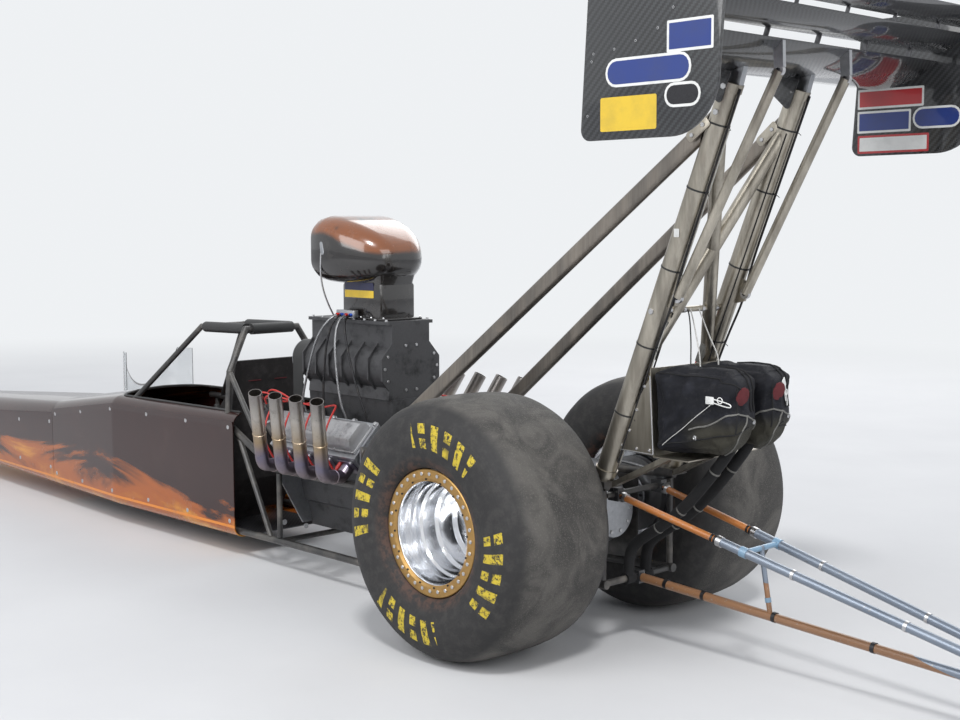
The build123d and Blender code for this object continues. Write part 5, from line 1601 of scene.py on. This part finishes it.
def stand_details():
    """Ties, clevises, rod ends and lines on the wing's stand."""
    kit = Kit("stand_fittings")
    for side in SIDES:
        for z in (0.885, 1.130, 1.395, 1.660, 1.870):
            kit.band(stand(z, side), STRUT_WAY, STRUT_R, 0.006, 0.0016)
            tail = [
                stand(z, side, STRUT_R + 0.001),
                stand(z + 0.004, side, STRUT_R + 0.010, side * 0.004),
                stand(z - 0.004, side, STRUT_R + 0.022, side * 0.010),
            ]
            kit.line(tail, 0.0014, "tie_black", 1, 4)
        for z, wide, thick in ((1.985, 0.030, 0.0030), (0.668, 0.022, 0.0040)):
            kit.band(stand(z, side), STRUT_WAY, STRUT_R, wide, thick, "strut_titanium")
        for z, lift in ((1.985, 0.003), (1.905, -0.0005), (CROSS_Z, -0.0005)):
            place = stand(z, side) + sideways(side * (STRUT_R + lift))
            kit.add(hex_bolt(0.019, 0.010), "bolt_steel", place, (0, side, 0))
        clevis(kit, side)
        rod_ends(kit, side)
        heights = (0.72, 0.885, 1.130, 1.300, 1.395, 1.660, 1.870, 1.990)
        line = [stand(z, side, STRUT_R + 0.006, side * 0.006) for z in heights]
        line[3] += Vector((-0.016, side * 0.006, 0))
        kit.line(line, 0.0042, "hose_black")
        inner = -side * (STRUT_R * 0.78)
        thin = [stand(z, side, STRUT_R * 0.72, inner) for z in (0.70, 0.90, 1.13, 1.40, 1.66, 1.86)]
        kit.line(thin, 0.0026, "lead_white" if side > 0 else "hose_black")
        place = stand(1.515, side) + sideways(side * (STRUT_R + 0.0002))
        kit.add(slab(oblong(0.011, 0.014, 0.003), 0.0006), "label_white", place, (0, side, 0))
    kit.mount()


def clevis(kit, side):
    """Bolted ears between a forward strut's head and the main strut."""
    head, foot = stand(1.905, side), car(0.922, side * 0.289, 0.573)
    way = (foot - head).normalized()
    start = head + way * 0.050
    side_way = way.cross(sideways(1)).normalized()
    normal = way.cross(side_way)
    outline = rounded(
        (
            (-0.012, -0.020, 0.008), (0.088, -0.018, 0.012),
            (0.088, 0.018, 0.012), (-0.012, 0.020, 0.008),
        )
    )
    turn = Matrix((way, side_way, normal)).transposed().to_4x4()
    for out, lift in ((1, 0.0340), (-1, 0.0305)):
        place = Matrix.Translation(start + sideways(out * lift)) @ turn
        if normal.y * out < 0:
            place = place @ up(-0.0035)
        kit.add(slab(outline, 0.004, 0.0008), "strut_titanium", place)
        for along in (0.012, 0.066):
            place = start + way * along + sideways(out * 0.0378)
            kit.add(hex_bolt(0.014, 0.008), "bolt_steel", place, (0, out, 0))


def rod_ends(kit, side):
    """Eyes, lock nuts and bolts at both ends of an adjusting rod."""
    foot, head = stand(1.320, side, STRUT_R + 0.026), car(-1.033, side * STRUT_Y, 2.023)
    way = (head - foot).normalized()
    eye = ((0.007, -0.0075), (0.0185, -0.0075), (0.0195, 0), (0.0185, 0.0075), (0.007, 0.0075))
    for place, direction in ((foot, way), (head, -way)):
        kit.turn(eye, 26, "bolt_steel", place, ACROSS)
        for along in (0.026, 0.042):
            kit.add(nut(0.026, 0.009), "bolt_steel", place + direction * along, direction)
        for out in SIDES:
            bolt = hex_bolt(0.014, 0.008)
            kit.add(bolt, "bolt_black", place + sideways(out * 0.008), (0, out, 0))


def release_gear():
    """Small boxes, a yellow cylinder, its red lines and the pale cables down to the packs."""
    kit = Kit("release_gear")
    inner = -(STRUT_R + 0.013)
    left = [stand(z, 1, 0.004, inner) for z in (1.185, 1.105, 1.010)]
    right = stand(1.08, -1, 0.0, STRUT_R + 0.012)
    for place, size, finish in (
        (left[0], (0.022, 0.026, 0.062), "strap_grey"),
        (left[1], (0.022, 0.026, 0.058), "drive_dark"),
    ):
        kit.add(block(size, 0.003), finish, place, STRUT_WAY)
    bottle = (
        (0, -0.046), (0.012, -0.046), (0.0135, -0.040), (0.0135, 0.034), (0.010, 0.042),
        (0.005, 0.046), (0, 0.046),
    )
    kit.turn(bottle, 26, "lead_yellow", left[2], STRUT_WAY)
    ends = stand(1.24, 1, 0.004, -0.056), stand(0.90, 1, 0.0, -0.052), stand(0.80, 1, -0.02, -0.046)
    for dx, finish in ((0.010, "lead_red"), (-0.010, "hose_black")):
        line = [place + Vector((dx, -0.012, 0)) for place in (ends[0], *left, *ends[1:])]
        kit.line(line, 0.0032, finish)
    kit.add(block((0.020, 0.022, 0.075), 0.003), "strap_grey", right, STRUT_WAY)
    for dx, finish in ((0.006, "lead_red"), (-0.008, "lead_white")):
        heights = (1.235, 1.15, 1.00, 0.86, 0.74)
        offset = Vector((dx, 0.004, 0))
        line = [stand(z, -1, 0.0, STRUT_R + 0.014) + offset for z in heights]
        kit.line(line, 0.003, finish)
    cross_x = stand(CROSS_Z).x - AXLE_X
    for y in (0.052, -0.052, 0.130, -0.130):
        kit.band(car(cross_x, y, CROSS_Z), ACROSS, 0.010, 0.014, 0.002, "bolt_steel")
    kit.mount()
    for number, (y, x_low, length) in enumerate(RELEASE_CABLES):
        top, low = car(cross_x - 0.008, y * 0.5, 1.250), car(x_low, y, 1.052)
        middle = (top + low) / 2 + Vector((-0.012, 0.004, -0.010))
        points = [top, top + Vector((-0.010, 0, -0.020)), middle, low + Vector((0, 0, 0.030)), low]
        finish = "strap_white" if number < 2 else "hose_black"
        cable = cord_of(f"release_cable_{number}", points, 0.0024, finish)


def mount_details():
    """Bright edging and screws on the packs' cradle, and gusset plates at the struts' heads."""
    kit = Kit("cradle_trim")
    gusset = rounded(
        (
            (-0.878, 2.030, 0.004), (-0.800, 2.060, 0.004),
            (-0.770, 1.985, 0.010), (-0.835, 1.925, 0.012),
        )
    )
    edges = (
        ((-0.528, 1.024), (-0.5445, 0.752), 0.0030, "bolt_steel"),
        ((-0.5445, 0.750), (-0.372, 0.7535), 0.0022, "machined_aluminium"),
    )
    screws = (
        (-0.506, 0.985), (-0.470, 0.900), (-0.438, 0.825), (-0.400, 0.770), (-0.470, 0.764),
        (-0.528, 0.764),
    )
    for side in SIDES:
        for start, end, radius, finish in edges:
            line = [car(x, side * 0.1985, z) for x, z in (start, end)]
            kit.line(line, radius, finish, sides=3, smooth=0)
        for x, z in screws:
            screw = cap_screw(0.0055, 0.004)
            kit.add(screw, "bolt_steel", car(x, side * 0.1980, z), (0, side, 0))
        for y in (0.2275, 0.1485):
            kit.add(upright(gusset, side * y, side * (y + 0.0035), 0.0008), "plate_carbon")
    kit.mount()


# ---------------------------------------------------------------- wheelie bars and rear end


BRACE_X = -0.86
ROLLER_X, ROLLER_Z = -1.98, 0.118


def bar_place(x, side):
    """Centre of an upper bar at any x: narrowing to the joint, then more to the rollers."""
    if x >= -0.760:
        y = 0.122 + (0.102 - 0.122) * (x + 0.310) / (-0.760 + 0.310)
    else:
        y = 0.102 + (0.042 - 0.102) * (x + 0.760) / (-1.925 + 0.760)
    return car(x, side * y, 0.572 + (x + 0.310) * 0.236)


def wheelie_details():
    """Clamps, collars, rod ends and the cross brace of the bars, and the rollers' pin ends."""
    kit = Kit("wheelie_fittings")
    eye = ((0.006, -0.009), (0.0175, -0.009), (0.019, 0), (0.0175, 0.009), (0.006, 0.009))
    washer = ((0.0083, 0), (0.017, 0), (0.017, 0.002), (0.0083, 0.002))
    brace_z = bar_place(BRACE_X, 1).z
    collars = (
        (-0.762, 0.0160, 0.020, 0.0030, "bolt_steel"),
        (-0.745, 0.0125, 0.007, 0.0035, "bolt_black"),
        (-0.732, 0.0125, 0.007, 0.0035, "bolt_black"),
        (-0.352, 0.0125, 0.012, 0.0020, "bolt_steel"),
        (-1.05, 0.0160, 0.012, 0.0020, "bolt_steel"),
        (-1.45, 0.0160, 0.012, 0.0020, "bolt_steel"),
        (-1.86, 0.0160, 0.012, 0.0020, "bolt_steel"),
    )
    for side in SIDES:
        way = bar_place(-0.70, side) - bar_place(-0.80, side)
        for x, radius, wide, thick, finish in collars:
            kit.band(bar_place(x, side), way, radius, wide, thick, finish)
        sleeve = [car(BRACE_X, side * y, brace_z) for y in (0.008, 0.078)]
        kit.line(sleeve, 0.0102, "bar_blue", sides=4, smooth=0)
        kit.band(bar_place(BRACE_X, side), way, 0.0160, 0.026, 0.0026, "bar_blue")
        end = bar_place(-0.345, side)
        kit.turn(eye, 24, "bolt_steel", end, ACROSS)
        for out in SIDES:
            kit.add(hex_bolt(0.013, 0.008), "bolt_black", end + sideways(out * 0.009), (0, out, 0))
        pin = car(ROLLER_X, side * 0.0985, ROLLER_Z)
        kit.add(hex_bolt(0.016, 0.009), "bolt_steel", pin, (0, side, 0))
        kit.turn(washer, 24, "bolt_steel", pin - sideways(side * 0.002), (0, side, 0))
    for x in (-0.45, -0.62, -0.92, -1.30, -1.78):
        z = 0.248 + (x + 0.345) * (0.248 - 0.150) / (1.925 - 0.345)
        kit.band(car(x, 0, z), (-1, 0, -0.062), 0.0160, 0.014, 0.0022, "bolt_black")
    top, low = car(BRACE_X, 0, brace_z - 0.008), car(-0.897, 0, 0.238)
    for share in (0.15, 0.85):
        place = top * (1 - share) + low * share
        kit.band(place, low - top, 0.009, 0.016, 0.0018, "bar_blue")
    kit.mount()


def rear_end_details():
    """Bolt circles, webs, brake hoses and clamps round the final drive and the clutch housing."""
    kit = Kit("rear_end_fittings")
    cover = facing(car(-0.206, 0, AXLE_Z), (-1, 0, 0))
    kit.copies(hex_bolt(0.014, 0.009), ring_of(10, 0.082, cover))
    dome = (
        (0, 0.0005), (0.066, 0.0005), (0.064, 0.006), (0.045, 0.015), (0.020, 0.019), (0, 0.0195),
    )
    kit.turn(dome, 40, "machined_aluminium", cover @ up(-0.020))
    ring = ((0.118, 0), (0.132, 0), (0.132, 0.004), (0.118, 0.004))
    web = ((0.052, 0), (0.135, 0), (0.118, 0.020), (0.052, 0.060))
    hose = (
        (0.125, 0.335, AXLE_Z + 0.066), (0.120, 0.330, 0.575), (0.080, 0.270, 0.605),
        (0.020, 0.215, 0.620), (-0.120, 0.206, 0.622), (-0.250, 0.203, 0.600),
    )
    for side in SIDES:
        bell = facing(car(0, side * 0.104, AXLE_Z), (0, side, 0))
        kit.copies(hex_bolt(0.013, 0.008), ring_of(14, 0.148, bell))
        kit.turn(ring, 48, "machined_aluminium", bell)
        webs = [bell @ turned(ROUND * i / 8) @ turned(QUARTER, "X") @ up(-0.004) for i in range(8)]
        kit.copies(slab(web, 0.008, 0.0015), webs, "machined_aluminium")
        flange = facing(car(0, side * 0.3075, AXLE_Z), (0, -side, 0))
        kit.copies(hex_bolt(0.012, 0.008), ring_of(8, 0.066, flange), "bolt_black")
        for z, finish in ((-0.027, "blue_anodised"), (0.027, "red_anodised")):
            bolt = hex_bolt(0.013, 0.008)
            kit.add(bolt, "bolt_black", car(0.160, side * 0.318, AXLE_Z + z), (0, -side, 0))
            kit.add(nut(0.016, 0.016), finish, car(0.125, side * 0.335, AXLE_Z + 0.052), (0, 0, 1))
        kit.line([car(x, side * y, z) for x, y, z in hose], 0.0062, "hose_braid", sides=3)
    for x in (0.180, 0.300, 0.420):
        place = car(x, 0, CRANK_Z)
        kit.band(place, FORWARD, 0.090, 0.012, 0.004, "machined_aluminium")
    collar = facing(car(0.690, 0, CRANK_Z), (-1, 0, 0))
    kit.copies(hex_bolt(0.014, 0.010), ring_of(12, 0.158, collar @ up(0.004)))
    for x in (0.45, 0.67):
        kit.band(car(x, 0, CRANK_Z), FORWARD, 0.095, 0.010, 0.003, "drive_dark")
    kit.mount()


# ---------------------------------------------------------------- engine lines and bolts


def fitting(kit, place, way, finish, size):
    """Hose end: hexagon nut with a round collar behind it."""
    kit.add(nut(size, 0.011), finish, place, way)
    neck, rim = size * 0.42, size * 0.47
    collar = ((0, -0.016), (neck, -0.016), (rim, -0.004), (rim, 0.001), (0, 0.001))
    kit.turn(collar, 16, "bolt_black", place, way)


def fuel_lines():
    """Braided lines from a block on the scoop's neck to a nozzle at every port."""
    kit = Kit("fuel_lines")
    for side in SIDES:
        rail = car(1.235, side * 0.128, 1.158)
        kit.add(block((0.120, 0.030, 0.034), 0.004), "machined_aluminium", Matrix.Translation(rail))
        for i in range(4):
            start = rail + Vector((-0.045 + i * 0.030, side * 0.015, -0.004))
            port = car(FIRST_PORT + i * BORE, *bank(side, 0.330, -0.060))
            bulge = side * (0.215 + 0.010 * (i % 2))
            fall = port.x - start.x
            points = [
                start,
                start + Vector((0, side * 0.040, -0.006)),
                Vector((start.x + fall * 0.3, bulge, 1.060)),
                Vector((start.x + fall * 0.65, bulge + side * 0.004, 0.900)),
                Vector((port.x, bulge - side * 0.006, 0.760)),
                port + Vector((0, -side * 0.004, 0.060)),
                port,
            ]
            braided, anodised = ("hose_braid", "red") if i % 2 else ("hose_black", "blue")
            kit.line(points, 0.0052, braided, fine=7)
            place = start + sideways(side * 0.004)
            fitting(kit, place, (0, side, 0), f"{anodised}_anodised", 0.015)
            fitting(kit, port + Vector((0, 0, 0.020)), (0, 0, -1), "red_anodised", 0.014)
    kit.mount()


def plug_leads():
    """Magneto caps with their towers, and a lead to the plugs over every pipe."""
    kit = Kit("plug_leads")
    tower = ((0, 0), (0.010, 0), (0.0095, 0.014), (0.007, 0.020), (0, 0.020))
    boot = ((0, 0), (0.0085, 0), (0.0085, 0.030), (0.006, 0.040), (0, 0.040))
    over = (
        (0.200, 0.244, 0.748), (0.105, 0.254, 0.770), (0.030, 0.286, 0.780),
        (-0.020, 0.340, 0.764), (-0.038, 0.392, 0.712), (-0.036, 0.416, 0.620),
    )
    for side in SIDES:
        foot, way = car(1.620, side * 0.160, 0.520), Vector((0.1, side * 0.5, 0.86)).normalized()
        kit.band(foot + way * 0.190, way, 0.058, 0.008, 0.002, "bolt_steel")
        kit.band(foot + way * 0.090, way, 0.048, 0.016, 0.002, "machined_aluminium")
        towers = ring_of(8, 0.036, facing(foot + way * 0.240, way))
        kit.copies(spun(tower, 14), towers, "tie_black")
        out = Vector((0, side * LEAN, -LEAN))
        for i in range(4):
            x = 1.055 + i * BORE
            start = towers[i * 2] @ Vector((0, 0, 0.018))
            plug = car(x, *bank(side, 0.342, 0.098))
            points = [start, start + way * 0.034]
            points.append(start + Vector((-0.060, side * 0.020, 0.050 + 0.006 * i)))
            points += [car(x + 0.03 + dx, side * y, z) for dx, y, z in over]
            points += [plug + out * 0.058, plug + out * 0.030, plug]
            kit.line(points, 0.0043, "lead_red", fine=7)
            kit.turn(boot, 14, "lead_red", plug, out)
    kit.mount()


def engine_bolts():
    """Nuts, studs and screws of the case, the plates, the heads and the pan."""
    kit = Kit("engine_bolts")
    heads = [on_bank(0.956 + i * BORE, side, 0.376, -0.085) for side in SIDES for i in range(5)]
    kit.copies(hex_bolt(0.018, 0.013), heads)
    plates, ends = [], []
    for x, way in ((0.9215, -1), (1.5585, 1)):
        for side in SIDES:
            for y, z in ((0.250, 0.200), (0.262, 0.420), (0.215, 0.560), (0.130, 0.165)):
                plates.append(facing(car(x, side * y, z), (way, 0, 0)))
    kit.copies(hex_bolt(0.016, 0.010), plates)
    case = [
        Matrix.Translation(car(0.985 + i * 0.073, side * 0.116, 1.134))
        for side in SIDES
        for i in range(8)
    ]
    kit.copies(hex_bolt(0.011, 0.008), case)
    reach = 0.092
    for x, way in ((0.9595, -1), (1.5205, 1)):
        spots = []
        for side in SIDES:
            for turn in (math.radians(35), 0, math.radians(-35)):
                spots.append((side * (0.055 + reach * math.cos(turn)), reach * math.sin(turn)))
        spots += [(y, z) for y in (-0.03, 0.03) for z in (0.096, -0.096)]
        ends += [facing(car(x, y, ROTOR_Z + z), (way, 0, 0)) for y, z in spots]
    kit.copies(hex_bolt(0.012, 0.008), ends)
    kit.mount()


# ---------------------------------------------------------------- cockpit


def tufted(pad, half, pitch):
    """Foam look: sides that pull in and sewn channels across the pad."""
    applied(pad, "REMESH", mode="VOXEL", voxel_size=0.0075)
    for vertex in pad.data.vertices:
        run = (vertex.co.z - vertex.co.x) / pitch % 1 - 0.5
        groove = math.exp(-((run * pitch / 0.007) ** 2))
        edge = (abs(vertex.co.y) / half) ** 4
        vertex.co -= vertex.normal * (0.0035 * groove + 0.0045 * edge)
    return finished(pad, levels=1, smooth=180)


def flat_strap(points, wide, thick):
    """Webbing along a path, flat across the car."""
    line = path_points(points)
    half = sideways(wide / 2)
    sections = []
    for i, here in enumerate(line):
        way = line[min(i + 1, len(line) - 1)] - line[max(i - 1, 0)]
        rise = way.cross(sideways(1)).normalized() * thick / 2
        low, high = here - rise, here + rise
        sections.append([low - half, low + half, high + half, high - half])
    return lofted(sections)


def seat_padding():
    half = 0.176
    outline = (
        (2.046, 0.880, 0.010), (2.068, 0.884, 0.010), (2.150, 0.360, 0.015), (2.205, 0.215, 0.02),
        (2.520, 0.232, 0.012), (2.520, 0.206, 0.006), (2.198, 0.176, 0.02), (2.126, 0.335, 0.02),
    )
    pad = tufted(upright(rounded(outline), -half, half, 0.008, 4, "seat_padding"), half, 0.085)
    settled(pad, finish="seat_dark")


def cage_padding():
    kit = Kit("cage_padding")
    rail, z = 0.124, 1.052
    for side in SIDES:
        ends = [car(2.015, side * rail, z), car(2.360, side * rail, z - 0.007)]
        kit.line(ends, 0.026, "tie_black", sides=5, smooth=0)
    ends = [car(1.985, y, z) for y in (-0.118, 0.118)]
    kit.line(ends, 0.0265, "tie_black", sides=5, smooth=0)
    kit.mount()


def harness():
    """Shoulder and lap belts with their buckle."""
    kit = Kit("harness")
    shoulder = (
        (2.020, 0.075, 0.800), (2.060, 0.075, 0.815), (2.092, 0.075, 0.760),
        (2.150, 0.0675, 0.560), (2.200, 0.060, 0.420), (2.280, 0.02625, 0.300),
    )
    lap = ((2.180, 0.176, 0.300), (2.250, 0.130, 0.290), (2.290, 0.045, 0.282))
    for side in SIDES:
        belt = flat_strap([car(x, side * y, z) for x, y, z in shoulder], 0.072, 0.003)
        kit.add(belt, "strap_maroon")
        kit.line([car(x, side * y, z) for x, y, z in lap], 0.0045, "strap_maroon")
    buckle = ((0, 0), (0.030, 0), (0.030, 0.012), (0.024, 0.016), (0, 0.016))
    kit.turn(buckle, 24, "machined_aluminium", car(2.296, 0, 0.284), (0.3, 0, 1))
    kit.mount()


def wheel_grips():
    """Waisted grips on the steering wheel and its round button."""
    kit = Kit("wheel_grips")
    hub, way = car(2.620, 0, 0.560), Vector((0.963, 0, -0.270)).normalized()
    grip = (
        (0, -0.056), (0.0140, -0.056), (0.0155, -0.045), (0.0140, -0.020), (0.0155, 0),
        (0.0140, 0.020), (0.0155, 0.045), (0.0140, 0.056), (0, 0.056),
    )
    for side in SIDES:
        kit.turn(grip, 24, "tie_black", hub + sideways(side * 0.105), way.cross(sideways(1)))
    button = ((0, 0), (0.013, 0), (0.012, 0.004), (0, 0.005))
    kit.turn(button, 24, "lead_red", hub - way * 0.0119, -way)
    kit.mount(body="steering_wheel")


# ---------------------------------------------------------------- front end


def front_details():
    """Caps on the spindles and screws of the front wing."""
    cap = ((0, 0), (0.0205, 0), (0.0205, 0.004), (0.017, 0.012), (0, 0.013))
    for side, word in WORDS.items():
        hub = facing(car(HUB_X, side * 0.478, HUB_Z), (0, side, 0))
        piece = placed(spun(cap, 26, name=f"spindle_cap_{word}"), hub @ up(-0.006))
        settled(piece, body=f"steer_{word}", finish="bolt_steel")
    head = ((0, -0.002), (0.006, -0.002), (0.0055, 0.0008), (0.003, 0.0016), (0, 0.0016))
    places = [
        facing(car(x, side * 0.5385, z), (0, side, 0)) @ up(-0.0012)
        for side in SIDES
        for x, z in ((8.04, 0.150), (8.14, 0.170), (8.26, 0.195))
    ]
    screws = repeated(spun(head, 16), places, "front_wing_screws")
    settled(screws, finish="bolt_steel")


for make in (
    studio, finishes,
    rear_tyres, rear_wheels, wing, body, headers, hat, valve_covers, belt_drive,
    packs, tethers, front_wheels, wheelie_rollers, stand_details, release_gear,
    mount_details, wheelie_details, rear_end_details, fuel_lines, plug_leads, engine_bolts,
    seat_padding, cage_padding, harness, wheel_grips, front_details,
):
    make()
